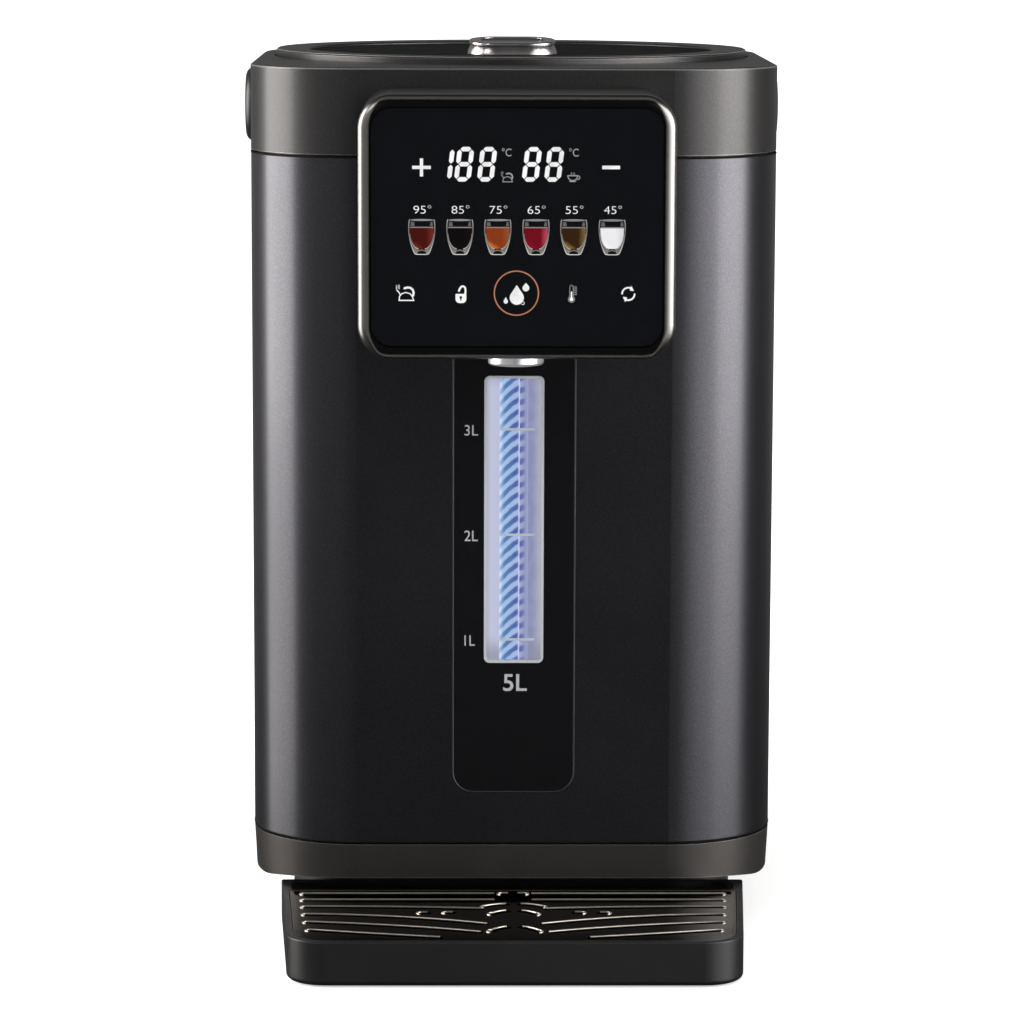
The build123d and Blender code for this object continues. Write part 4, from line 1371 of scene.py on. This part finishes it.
NOZZLE_CHROME = Finish(
    "outlet_chrome", srgb(240, 238, 238), tone=0.02, metallic=0.75, clean=0.3, handled=0.34,
    grain=Grain(300, 0.0006),
)
CHROME = Finish(
    "chrome_trim", srgb(216, 211, 211), metallic=1.0, clean=0.22, handled=0.28, grain=Grain(200, 0.0006),
)
BLACK_CHROME = Finish(
    "black_chrome", srgb(42, 38, 35), metallic=1.0, clean=0.1, handled=0.16, grain=Grain(500, 0.001),
    edge_highlight=srgb(150, 142, 132), edge=0.4, reach=0.4, dust=0.01,
)
STEEL = Finish(
    "pot_steel", srgb(196, 196, 198), metallic=1.0, clean=0.24, handled=0.32,
    grain=Grain(1800, 0.006, (1, 1, 9)),
)
SPRING = Finish("spring_steel", srgb(176, 176, 178), metallic=1.0, clean=0.25, handled=0.33)
SENSOR = Finish("sensor_metal", srgb(200, 200, 204), metallic=1.0, clean=0.3, handled=0.4)
FOIL = Finish(
    "heater_foil", srgb(208, 208, 212), metallic=1.0, clean=0.3, handled=0.42, grain=Grain(400, 0.05),
)
CAST = Finish(
    "heater_cast", srgb(178, 178, 176), metallic=0.9, clean=0.5, handled=0.6, grain=Grain(1100, 0.05),
)
MOTOR_CAN = Finish("motor_can", srgb(140, 140, 146), metallic=0.9, clean=0.35, handled=0.45)
WHITE_PLASTIC = Finish("white_plastic", srgb(226, 228, 232), clean=0.42, handled=0.5, grain=Grain(1200))
SILICONE = Finish(
    "seal_silicone", srgb(214, 216, 220), clean=0.5, handled=0.6, grain=Grain(800), sheen=0.1,
)
HOSE = Finish("hose_silicone", srgb(222, 222, 224), clean=0.45, handled=0.55, grain=Grain(700), sheen=0.1)
FELT = Finish(
    "felt_wrap", srgb(186, 182, 174), tone=0.35, clean=0.95, handled=1.0,
    grain=Grain(1600, 0.25, (1, 1, 0.5)), sheen=0.4,
)
BOARD_GREEN = Finish(
    "circuit_board", srgb(30, 96, 56), tone=0.4, clean=0.35, handled=0.45, grain=Grain(900, 0.02),
)
BOARD_PARTS = Finish("board_parts_black", srgb(38, 38, 40), clean=0.45, handled=0.55)
BOARD_WHITE = Finish(
    "board_white", srgb(228, 232, 244), clean=0.4, handled=0.5, glow=srgb(200, 214, 255),
    glow_strength=0.7,
)
MATT_BLACK = Finish(
    "matt_black", srgb(13, 13, 14), clean=0.62, handled=0.7, grain=Grain(1500, 0.006), specular=0.1,
)
BUTTON_BLACK = Finish(
    "button_black", srgb(40, 44, 44), clean=0.16, handled=0.24, coat=0.4, coat_roughness=0.05,
)
TRAY_SATIN = Finish(
    "tray_satin", srgb(18, 18, 18), clean=0.36, handled=0.42, grain=Grain(1400), edge_highlight=srgb(90, 90, 90),
    edge=0.6, reach=0.7, dust=0.02,
)
CLEAR_LENS = ClearFinish("clear_lens")
LIT_CHANNEL = ChannelFinish()
LEVEL_STRIPES = StripeFinish()
WHITE_PRINT = Finish(
    "display_white", grey(0.002), clean=0.2, handled=0.25, specular=0.2, glow=srgb(252, 252, 252),
    glow_strength=1.0,
)
DIM_PRINT = replace(WHITE_PRINT, name="display_dim", glow=srgb(170, 170, 170))
COPPER_PRINT = replace(WHITE_PRINT, name="display_copper", glow=srgb(194, 130, 98))
CUP_FOOT = 271.1
CUP_GLASS = FadingPrint("display_glass", CUP_FOOT, (
    (0.3, (150, 146, 142)), (2.2, (124, 120, 116)), (4.5, (64, 60, 58)), (9.5, (46, 44, 42)),
    (10.8, (112, 108, 106)), (13.0, (84, 82, 80)),
))
CUP_LINE = FadingPrint("display_glass_line", CUP_FOOT, (
    (0.3, (232, 230, 228)), (3.0, (206, 202, 198)), (7.0, (138, 132, 128)), (11.0, (140, 136, 132)),
    (13.0, (176, 174, 172)),
))
GAUGE_PRINT = Finish("gauge_print", srgb(176, 178, 180), clean=0.4, handled=0.45)
TICK_PRINT = Finish(
    "gauge_tick", srgb(90, 96, 96), clean=0.4, handled=0.45, glow=srgb(176, 186, 196), glow_strength=0.8,
)
POT_PRINT = Finish("pot_marks", srgb(62, 64, 68), clean=0.4, handled=0.5)
PLATE_TRIM = Finish("plate_trim", srgb(66, 66, 70), metallic=1.0, clean=0.5, handled=0.56)
# A grey line laid along edges as a painted highlight.
EDGE_HIGHLIGHT_LINE = Finish("edge_sheen", srgb(118, 116, 115), clean=0.3, handled=0.36)
HANDLE_BLACK = Finish("handle_black", srgb(26, 26, 28), clean=0.34, grain=Grain(1400, 0.004))
# Chrome brighter than the grille's black chrome: the lips carry a painted highlight.
LIP_HIGHLIGHT_CHROME = Finish(
    "grille_lip", srgb(206, 197, 186), metallic=0.9, clean=0.28, handled=0.36, grain=Grain(500, 0.001),
)
BLADE_METAL = Finish("inlet_blades", srgb(206, 200, 186), metallic=1.0, clean=0.2, handled=0.3)

NODE_FINISHES = {
    "plinth": DARK_PLASTIC, "bottom_cover": DARK_PLASTIC, "rubber_feet": RUBBER, "case_screws": ZINC,
    "base_band": BAND_PAINTED_LIGHT, "body_shell": LACQUER, "upper_collar": GUNMETAL, "front_plate": GLOSS_BLACK,
    "window_frame": SILVER, "window_lens": CLEAR_LENS, "light_box": LIT_CHANNEL,
    "level_tube": LEVEL_STRIPES, "tube_seals": SILICONE, "stripe_strip": LIT_CHANNEL,
    "led_strip": BOARD_WHITE, "head_housing": GUNMETAL, "head_bezel": BEZEL, "touch_glass": BLACK_GLASS,
    "display_board": BOARD_GREEN, "spout_pipe": HOSE, "nozzle": NOZZLE_CHROME, "nozzle_tip": SILICONE,
    "inner_pot": STEEL, "pot_gasket": SILICONE, "insulation_jacket": FELT, "keep_warm_heater": FOIL,
    "boil_heater": CAST, "thermostat": SENSOR, "thermal_fuse": SENSOR, "temperature_sensor": SENSOR,
    "pump_housing": WHITE_PLASTIC, "pump_motor": MOTOR_CAN, "pump_impeller": WHITE_PLASTIC,
    "inlet_hose": HOSE, "outlet_hose": HOSE, "power_board": BOARD_GREEN, "board_parts": BOARD_PARTS,
    "board_posts": WHITE_PLASTIC, "power_inlet": DARK_PLASTIC, "lid_frame": GUNMETAL,
    "lid_inlay": MATT_BLACK, "steam_vent": MATT_BLACK, "lid_underside": STEEL, "lid_gasket": SILICONE,
    "lid_button": CHROME, "button_inlay": BUTTON_BLACK, "button_spring": SPRING,
    "lid_latch": WHITE_PLASTIC, "hinge_pin": SPRING, "hinge_bracket": DARK_PLASTIC,
    "handle_bail": HANDLE_BLACK, "handle_pins": SPRING, "drip_tray": TRAY_SATIN,
    "drip_grille": BLACK_CHROME,
}


# Sub-assemblies ------------------------------------------------------------------------


@dataclass
class SubAssembly:
    """Pieces of the pot that are made and dressed together, at a bench."""

    bench: Bench

    def dress(self) -> None:
        """Fit its pieces. Each sub-assembly has its own."""
        raise NotImplementedError


@dataclass
class OuterBody(SubAssembly):
    """Painted shadow in the gaps at the painted jacket, painted highlight lines at the edges above it, and
    the trim round its gloss plate.
    """

    plate_corner: float = 8.0
    trim_radius: float = 0.34
    trim_inset: float = 0.18
    trim_sunk: float = 0.1
    trim_under_head: float = 4.0
    seam_radius: float = 0.45
    seam_sunk: float = 0.3
    seam_cut: float = 0.5
    edge_radius: float = 0.24
    edge_drop: float = 0.5
    ring_inset: float = 0.6

    def dress(self) -> None:
        """Fit the trim, the painted shadow in the gaps and the painted highlight lines at the edges."""
        self.trim()
        self.seams()
        self.edges()

    def trim(self) -> None:
        """Lay the trim in the groove round the front plate."""
        plate_space = Span.of("front_plate")
        top = Span.of("head_housing").low.z + self.trim_under_head
        side = plate_space.high.x - self.trim_inset
        foot = plate_space.low.z + self.trim_inset
        radius = self.plate_corner - self.trim_inset
        right = [(side, top)] + arc((side - radius, foot + radius), radius, 0, -90, 14)
        depth = -plate_space.low.y - self.trim_sunk
        path = [(x, y, depth) for x, y in right + mirrored(right)[::-1]]
        mesh = self.bench.bead([(path, False)], self.trim_radius, PLATE_TRIM, Facing.FRONT)
        self.bench.fit("plate_trim", mesh, PLATE_TRIM, "pot", "silver_trim")

    def seams(self) -> None:
        """Lay a matt black bead in the gap where the jacket enters the collar and in the one where it enters
        the base band, as painted shadow.
        """
        paths = []
        shell = Span.of("body_shell")
        middle = shell.middle
        for height, inwards in ((shell.high.z, -self.seam_cut), (shell.low.z, self.seam_cut)):
            loop = []
            for x, y in section("body_shell", height + inwards):
                share = 1 - self.seam_sunk / math.hypot(x - middle.x, y - middle.y)
                loop.append((middle.x + (x - middle.x) * share, middle.y + (y - middle.y) * share, height))
            paths.append((loop, True))
        # The matt black bead paints shadow into the gap.
        mesh = self.bench.bead(paths, self.seam_radius, MATT_BLACK)
        self.bench.fit("case_seams", mesh, MATT_BLACK, "pot", "dark_plastic")

    def edges(self) -> None:
        """Run a fine grey bead round the collar's deck and another round the lid's ring, as painted
        highlight lines.
        """
        height = Span.of("upper_collar").high.z - self.edge_drop
        ring = Span.of("lid_frame")
        circle = arc((0.0, ring.low.y + ring.high.x), ring.high.x - self.ring_inset, 0, 360, 180)[:-1]
        for name, outline, rise, body in (
            ("collar_edge", section("upper_collar", height), height, "pot"),
            ("lid_edge", circle, ring.high.z - self.edge_drop, "lid"),
        ):
            loop = [(x, y, rise) for x, y in outline]
            # The grey bead is a painted highlight line along the edge.
            mesh = self.bench.bead([(loop, True)], self.edge_radius, EDGE_HIGHLIGHT_LINE)
            self.bench.fit(name, mesh, EDGE_HIGHLIGHT_LINE, body, "gunmetal_satin")


@dataclass
class LevelWindow(SubAssembly):
    """The level window's marks and figures."""

    litre: float = 41.0
    first_mark: float = 116.7
    tick_left: float = -5.2
    tick_right: float = 8.0
    tick_thick: float = 0.9
    figure_height: float = 4.1
    figure_drop: float = 0.4
    figures_at: tuple[Point, ...] = ((-17.0, 4.0), (-16.5, 5.2), (-16.5, 5.2))
    capacity_size: Point = (9.2, 6.7)
    capacity_at: Point = (0.6, 99.7)
    capacity_weight: float = 0.012

    def dress(self) -> None:
        """Fit the ticks on the lens and the figures on the plate."""
        self.ticks()
        self.figures()

    def ticks(self) -> None:
        """One tick for each litre, repeated upwards on the lens."""
        face = -Span.of("window_lens").low.y
        half = self.tick_thick / 2
        outline = box(self.tick_left, self.first_mark - half, self.tick_right, self.first_mark + half)
        tick = finish_mesh("tick", plate([outline], face, face + INK), Facing.FRONT)
        step = (0.0, 0.0, self.litre * MM)
        values = {"Count": len(self.figures_at), "Step": step, "Finish": self.bench.material(TICK_PRINT)}
        mesh = grown(self.bench.trees.row, tick, values)
        self.bench.fit("level_ticks", mesh, TICK_PRINT, "pot", "stripe_print")

    def figures(self) -> None:
        """The litres beside the window and the pot's capacity below it."""
        face = -Span.of("front_plate").low.y
        parts = []
        for i, (x, width) in enumerate(self.figures_at):
            height = self.first_mark + i * self.litre - self.figure_drop
            parts.append(lettering(f"{i + 1}L", (width, self.figure_height), (x, height), face))
        capacity = lettering("5L", self.capacity_size, self.capacity_at, face, weight=self.capacity_weight)
        mesh = finish_mesh("figures", joined(parts + [capacity]), Facing.FRONT)
        self.bench.fit("level_figures", mesh, GAUGE_PRINT, "pot", "board_white")


@dataclass
class ControlHead(SubAssembly):
    """The lit display on the head's touch glass."""

    digit_foot: float = 297.85
    digit_width: float = 6.1
    digit_height: float = 12.7
    digit_stroke: float = 1.65
    digit_slant: float = 0.12
    digit_gap: float = 0.22
    digits: tuple[tuple[float, str], ...] = (
        (-30.4, "bc"), (-23.3, "abcdefg"), (-14.9, "abcdefg"), (1.5, "abcdefg"), (9.7, "abcdefg"),
    )
    unit_size: Point = (3.5, 3.0)
    units_at: tuple[Point, ...] = ((-3.9, 308.6), (20.7, 308.6))
    signs_height: float = 299.6
    signs_at: Point = (-3.9, 20.5)
    kettle_scales: Point = (0.62, 0.95)
    label_size: Point = (6.5, 3.0)
    label_height: float = 287.6
    label_aside: float = 0.2
    label_weight: float = -0.013
    hottest: int = 95
    label_step: int = 10
    plus_and_minus: tuple[tuple[float, float, float, float], ...] = (
        (-38.5, 302.4, -31.7, 303.6), (-35.7, 299.7, -34.5, 306.3), (31.1, 302.5, 37.6, 303.8),
    )
    key_height: float = 256.5
    keys_at: tuple[float, ...] = (-41.2, -20.6, -0.2, 20.5, 41.0)
    key_ring: tuple[float, float] = (8.35, 7.9)
    gauge_scale: float = 0.92
    cups_at: tuple[float, ...] = (-35.0, -21.0, -7.1, 6.9, 20.8, 34.9)
    cup_rim: float = 12.65
    rim_half: Point = (4.2, 0.34)
    rim_hollow: Point = (0.96, 0.3)
    fill_top: Point = (4.36, 9.7)
    fill_gap: float = 0.12
    cup_wall: tuple[Point, ...] = (
        (4.5, 12.8), (4.75, 11.6), (4.85, 10.2), (4.8, 8.7), (4.68, 7.2), (4.28, 4.9), (3.6, 2.7),
        (3.0, 1.1), (2.5, 0.2), (1.7, 0.0),
    )
    cup_inside: tuple[Point, ...] = (
        (4.3, 12.8), (4.5, 11.4), (4.5, 9.8), (4.38, 7.6), (4.18, 6.2), (3.85, 4.9), (3.2, 3.5),
        (2.3, 2.5), (1.2, 2.05),
    )
    drinks: tuple[tuple[str, Point3, Point3, Point3], ...] = (
        ("tea", (70, 16, 9), (116, 44, 36), (122, 46, 26)),
        ("coffee", (8, 5, 5), (15, 12, 13), (18, 11, 9)),
        ("amber", (134, 56, 20), (146, 80, 46), (216, 122, 58)),
        ("berry", (112, 8, 26), (186, 70, 92), (150, 16, 44)),
        ("olive", (50, 30, 13), (124, 102, 56), (140, 112, 50)),
        ("milk", (236, 236, 238), (206, 206, 210), (250, 250, 250)),
    )

    @cached_property
    def face(self) -> float:
        """How far forward the glass lies."""
        return -Span.of("touch_glass").low.y

    def dress(self) -> None:
        """Fit every lit mark on the glass."""
        self.keys()
        self.temperatures()
        self.cups()

    def show(self, name: str, solid: Solid, finish: AnyFinish) -> None:
        """Fit a group of marks to the glass.

        Args:
            name: The group's name.
            solid: The marks, seen from the front.
            finish: Their finish.
        """
        mesh = finish_mesh(name, solid, Facing.FRONT)
        self.bench.fit(f"display_{name}", mesh, finish, "pot", "black_glass")

    def digit(self, x: float, parts: str) -> list[Shape]:
        """The lit bars of one slanted seven-bar figure.

        Args:
            x: Where its foot starts.
            parts: The letters of the bars that are lit.

        Returns:
            A six-sided outline for each bar.
        """
        half = self.digit_stroke / 2
        inset = self.digit_gap
        right, top = self.digit_width - half, self.digit_height - half
        middle = self.digit_height / 2
        bars = {
            "a": ((half, top), (right, top)), "b": ((right, middle), (right, top)),
            "c": ((right, half), (right, middle)), "d": ((half, half), (right, half)),
            "e": ((half, half), (half, middle)), "f": ((half, middle), (half, top)),
            "g": ((half, middle), (right, middle)),
        }
        shapes = []
        for name in parts:
            first, last = Vector(bars[name][0]), Vector(bars[name][1])
            along = (last - first).normalized()
            across = Vector((-along.y, along.x)) * half
            start, end = first + along * inset, last - along * inset
            bar = [start, start + along * half + across, end - along * half + across,
                   end, end - along * half - across, start + along * half - across]
            shapes.append([[(x + c.x + self.digit_slant * c.y, self.digit_foot + c.y) for c in bar]])
        return shapes

    def temperatures(self) -> None:
        """The two read-outs with their units and small signs, and the row of set points."""
        shapes = [shape for x, parts in self.digits for shape in self.digit(x, parts)]
        self.show("digits", printed(shapes, self.face), WHITE_PRINT)
        parts = [lettering("°C", self.unit_size, place, self.face) for place in self.units_at]
        signs = moved(self.kettle(), self.signs_at[0], self.signs_height, self.kettle_scales[0])
        signs += moved(self.steaming_cup(), self.signs_at[1], self.signs_height)
        parts.append(printed(signs, self.face))
        self.show("units", joined(parts), DIM_PRINT)
        labels = []
        for i, x in enumerate(self.cups_at):
            place = (x + self.label_aside, self.label_height)
            text = f"{self.hottest - self.label_step * i}°"
            labels.append(lettering(text, self.label_size, place, self.face, weight=self.label_weight))
        self.show("set_points", joined(labels), WHITE_PRINT)

    def keys(self) -> None:
        """Plus and minus, and the five keys along the foot of the glass."""
        y = self.key_height
        kettle_x, lock_x, drops_x, gauge_x, turning_x = self.keys_at
        bulb = [[arc((-0.45, -2.5), 0.8, 0, 342, 19)], [ribbon([(-0.45, -2.4), (-0.45, 0.3)], 0.6)]]
        shapes = [[box(*sides)] for sides in self.plus_and_minus]
        shapes += moved(self.kettle(), kettle_x, y + 0.4, self.kettle_scales[1])
        shapes += moved(self.lock(), lock_x, y)
        shapes += moved(self.drops(), drops_x, y) + moved(bulb, gauge_x, y + 0.5, self.gauge_scale)
        shapes += moved(self.turning(), turning_x, y + 0.2)
        self.show("keys", printed(shapes, self.face), WHITE_PRINT)
        gauge = moved(self.thermometer(), gauge_x, y + 0.5, self.gauge_scale)
        self.show("gauge", printed(gauge, self.face), DIM_PRINT)
        ring = [arc((drops_x, y + 0.4), radius, 0, 360, 72)[:-1] for radius in self.key_ring]
        self.show("ring", printed([ring], self.face), COPPER_PRINT)

    def kettle(self) -> list[Shape]:
        """A small kettle with steam at its spout."""
        dome = [(-2.2, -2.9), (-2.1, -1.4), (-1.2, -0.3), (0.4, 0.2), (2.0, -0.3), (2.9, -1.4), (3.4, -2.9)]
        handle = [(-0.1, 1.8), (0.9, 2.1), (2.1, 2.0), (3.0, 1.3), (3.4, 0.2), (3.2, -1.0)]
        return [
            [ribbon([(-2.3, -2.9), (3.5, -2.9)], 0.45)], [ribbon(dome, 0.42)], [ribbon(handle, 0.85)],
            [ribbon([(-1.9, -0.6), (-2.4, 0.4), (-3.1, 1.0)], 0.4)],
            [ribbon([(-3.0, 1.4), (-3.4, 1.9), (-3.0, 2.4), (-3.3, 2.9)], 0.28)],
            [ribbon([(-2.1, 1.6), (-2.5, 2.1), (-2.1, 2.6), (-2.4, 3.1)], 0.28)],
        ]

    def steaming_cup(self) -> list[Shape]:
        """A small round cup with a handle and steam."""
        return [
            [ribbon(arc((-0.2, 0.5), 1.8, 180, 360, 16), 0.36)], [ribbon([(-2.0, 0.5), (1.6, 0.5)], 0.36)],
            [ribbon(arc((1.7, -0.2), 0.7, 100, -110, 8), 0.3)], [ribbon([(-1.3, -1.6), (0.9, -1.6)], 0.34)],
            [ribbon([(-0.8, 0.9), (-0.5, 1.2), (-0.8, 1.6)], 0.24)],
            [ribbon([(0.2, 0.9), (0.5, 1.2), (0.2, 1.6)], 0.24)],
        ]

    def lock(self) -> list[Shape]:
        """An open padlock."""
        body = rounded_corners(box(-2.0, -3.3, 2.0, 0.1), (1.5, 1.5, 0.4, 0.4), 6)
        keyhole = arc((-0.05, -1.2), 0.5, -60, 240, 14) + [(-0.28, -2.35), (0.2, -2.35)]
        shackle = [(1.6, 0.0), (1.7, 1.6), (1.45, 2.5), (0.8, 2.95), (0.1, 2.7), (-0.45, 1.9), (-0.75, 1.2)]
        return [[body, keyhole], [ribbon(shackle, 0.72)]]

    def drops(self) -> list[Shape]:
        """Three drops of water, and a small curl beside the largest."""
        return [
            [teardrop(0.15, -3.9, 5.2, 7.3)], [teardrop(3.5, 1.05, 2.5, 3.15)],
            [teardrop(-3.9, -3.5, 1.6, 2.45)], [ribbon(arc((2.4, -3.3), 0.55, 70, -150, 10), 0.2)],
        ]

    def turning(self) -> list[Shape]:
        """Two arrows that chase each other round."""
        shapes = []
        for start in (178.0, -2.0):
            head = [
                arc((0, 0), radius, start - turn, start - turn, 1)[0]
                for radius, turn in ((3.25, 108), (1.35, 108), (2.3, 150))
            ]
            shapes += [[ribbon(arc((0, 0), 2.3, start, start - 112, 18), 0.62)], [head]]
        return shapes

    def thermometer(self) -> list[Shape]:
        """The glass of a small thermometer, with its scale."""
        stem = [(-1.1, -1.6), (-1.15, 0.4), (-1.1, 2.6), (-0.45, 3.25), (0.2, 2.6), (0.25, 0.4), (0.2, -1.6)]
        scale = [[ribbon([(0.75, -0.6 + 0.75 * i), (1.6, -0.6 + 0.75 * i)], 0.26)] for i in range(5)]
        return [[ribbon(stem, 0.24)], *scale, [ribbon(arc((-0.45, -2.5), 1.25, 60, -240, 16), 0.22)]]

    def cups(self) -> None:
        """Six glasses, each with its own drink."""
        wall, inside = list(self.cup_wall), list(self.cup_inside)
        bowl = inside[3:]
        turns = [math.radians(a) for a in range(0, 360, 15)]
        (wide, tall), (narrower, lower) = self.rim_half, self.rim_hollow
        rim = [(wide * math.cos(a), self.cup_rim + tall * math.sin(a)) for a in turns]
        hollow = [(x * narrower, self.cup_rim + (y - self.cup_rim) * lower) for x, y in rim]
        inner = [(x + 0.02, y - 0.02) for x, y in bowl]
        body = [
            [wall[::-1] + inside], [mirrored(wall[::-1] + inside)],
            [ribbon([(-1.5, 1.2), (0.0, 1.65), (1.5, 1.2)], 0.4)],
            [[(-4.1, 10.5), (-2.6, 10.45), (-2.8, 12.0), (-4.0, 12.1)]],
            [[(3.0, 10.45), (4.1, 10.5), (4.0, 12.1), (3.2, 12.0)]],
        ]
        line = [
            [ribbon(wall + mirrored(wall)[::-1], 0.26)], [rim, hollow], [ribbon(inner, 0.2)],
            [ribbon(mirrored(inner), 0.2)],
            [[(-4.3, 9.75), (4.3, 9.75), (4.25, 10.15), (-4.25, 10.15)]],
        ]
        for name, shapes, finish, thick in (
            ("glasses", body, CUP_GLASS, 0.03), ("glass_lines", line, CUP_LINE, 0.05),
        ):
            placed = [shape for x in self.cups_at for shape in moved(shapes, x, CUP_FOOT)]
            self.show(name, printed(placed, self.face, thick), finish)
        fill = [self.fill_top] + [(x - self.fill_gap, y + self.fill_gap) for x, y in bowl]
        outline = fill[::-1] + mirrored(fill)
        for x, (name, *tones) in zip(self.cups_at, self.drinks):
            finish = DrinkFinish(f"drink_{name}", x, CUP_FOOT + 2.0, *(srgb(*tone) for tone in tones))
            self.show(name, printed(moved([[outline]], x, CUP_FOOT), self.face), finish)


@dataclass
class DripTray(SubAssembly):
    """The rolled lips of the grille's slots, in chrome brighter than the grille as a painted highlight, and
    a black-chrome cover on the deck behind it as painted shade.
    """

    lip_radius: float = 0.42
    lip_sunk: float = 0.5
    slot_width: float = 3.0
    side_rows: tuple[tuple[Point, Point, Point], ...] = (
        ((-81.2, -5.6), (-44.2, -5.6), (-7.2, -5.6)), ((-80.8, -15.6), (-44.0, -15.6), (-7.2, -15.6)),
        ((-80.2, -26.4), (-46.0, -27.0), (-12.6, -29.4)), ((-79.4, -38.2), (-44.0, -42.6), (-11.0, -53.0)),
        ((-78.4, -50.2), (-44.0, -56.4), (-13.4, -65.4)), ((-77.0, -62.4), (-52.0, -68.4), (-28.4, -73.4)),
    )
    middle_arcs: tuple[Point3, ...] = ((-57.6, 7.8, 6.2), (-32.6, 7.4, 4.8), (-22.0, 10.0, 4.0))
    arc_middle: Point = (0.68, 0.28)
    arc_overlap: float = 1.0
    arc_inner: float = 2.6
    short_slots: tuple[Point, ...] = ((-34.2, -35.6), (-24.6, -35.2), (-3.1, -5.0))
    short_half: float = 1.2
    deck: tuple[Point, ...] = ((-86.4, -1.0), (86.4, -1.0), (86.9, 12.0), (-86.9, 12.0))
    deck_corner: float = 0.8
    deck_sunk: float = 0.02

    def dress(self) -> None:
        """Fit the lips and the painted shade cover."""
        front = Span.of("body_shell").low.y
        self.lips(front)
        self.deck_cover(front)

    def slots(self) -> list[list[Point]]:
        """The middle line of each slot of the grille's left half, from its outer end inwards."""
        rows = [bow(*row) for row in self.side_rows]
        for crown, span, drop in self.middle_arcs:
            middle = (-span * self.arc_middle[0], crown - drop * self.arc_middle[1])
            outer = (-span - self.arc_overlap, crown - drop)
            rows.append(bow(outer, middle, (-self.arc_inner, crown), 8))
        half = self.short_half
        return rows + [[(x - half, y), (x, y), (x + half, y)] for x, y in self.short_slots]

    def lips(self, front: float) -> None:
        """Run a lip of bright chrome, a painted highlight, round the outer end and along the far side of
        each slot.

        Args:
            front: The place of the body's front, which the slots are measured from.
        """
        top = Span.of("drip_grille").high.z - self.lip_sunk
        offset = self.slot_width + self.lip_radius
        paths = []
        for row in self.slots():
            lip = arc(row[0], offset / 2, 250, 100, 6) + ribbon(row, offset)[:len(row)]
            for side in (lip, mirrored(lip)):
                paths.append(([(x, y + front, top) for x, y in side], False))
        mesh = self.bench.bead(paths, self.lip_radius, LIP_HIGHLIGHT_CHROME)
        self.bench.fit("grille_lips", mesh, LIP_HIGHLIGHT_CHROME, "grille", "black_chrome")

    def deck_cover(self, front: float) -> None:
        """Lay a thin black-chrome plated cover on the tray's deck behind the grille, as painted shade where
        the deck lies under the band.

        Args:
            front: The place of the body's front, which the deck is measured from.
        """
        top = Span.of("drip_tray").high.z
        # The cover paints shade on the deck behind the grille.
        outline = rounded_corners([(x, front + y) for x, y in self.deck], [self.deck_corner] * 4, 4)
        mesh = finish_mesh("deck", plate([outline], top - self.deck_sunk, top + INK))
        self.bench.fit("deck_cover", mesh, BLACK_CHROME, "tray", "black_chrome")


@dataclass
class RearInlet(SubAssembly):
    """Metal blades in the power inlet."""

    height: float = 62.0
    blades_at: tuple[Point, ...] = ((-7.0, -2.0), (7.0, -2.0), (0.0, 2.0))
    half_width: float = 1.06
    half_height: float = 2.06
    corner: float = 0.3
    roll: float = 0.2
    root: float = 1.94
    tip: float = 15.9

    def dress(self) -> None:
        """Sleeve the blades in metal."""
        back = Span.of("body_shell").high.y
        wide, tall = self.half_width, self.half_height
        parts = []
        for x, rise in self.blades_at:
            y = self.height + rise
            outline = rounded_corners(box(x - wide, y - tall, x + wide, y + tall), [self.corner] * 4)
            parts.append(plate([outline], self.root - back, self.tip - back, self.roll))
        mesh = finish_mesh("blades", joined(parts), Facing.FRONT)
        self.bench.fit("inlet_blades", mesh, BLADE_METAL, "pot", "dark_plastic")


@dataclass
class InnerWorks(SubAssembly):
    """Litre marks printed inside the pot."""

    floor: float = 75.0
    litre: float = 41.0
    litres: int = 5
    radius: float = 88.0
    lift: float = 0.02
    thick: float = 0.06
    mark: tuple[float, ...] = tuple(-14.0 + 2.0 * i for i in range(12))
    mark_width: float = 1.0
    figure_size: Point = (4.4, 6.2)
    figure_x: float = 14.0

    def dress(self) -> None:
        """Bend the marks and their figures onto the pot's far wall."""
        parts = []
        for litre in range(1, self.litres + 1):
            height = self.floor + self.litre * litre
            line = ribbon([(x, height) for x in self.mark], self.mark_width)
            parts.append(plate([line], self.lift, self.lift + self.thick))
            place = (self.figure_x, height)
            parts.append(lettering(str(litre), self.figure_size, place, self.lift, self.thick))
        solid = wrapped(joined(parts), self.radius, Span.of("inner_pot").middle.y)
        self.bench.fit("pot_marks", finish_mesh("marks", solid), POT_PRINT, "pot", "stripe_print")


def clear_strays() -> None:
    """Remove what the empty scene held before the model was loaded."""
    kept = set(frame["nodes"].values()) | set(frame["bodies"].values())
    for stray in [o for o in bpy.data.objects if o not in kept]:
        bpy.data.objects.remove(stray)


def main() -> None:
    """Dress the pot, sub-assembly by sub-assembly."""
    logging.basicConfig(level=logging.INFO, format="%(name)s %(message)s")
    clear_strays()
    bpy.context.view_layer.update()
    Studio().build()
    bench = Bench()
    for node, finish in NODE_FINISHES.items():
        bench.coat(node, finish)
    for assembly in (OuterBody, LevelWindow, ControlHead, DripTray, RearInlet, InnerWorks):
        assembly(bench).dress()


if __name__ == "__main__":
    main()
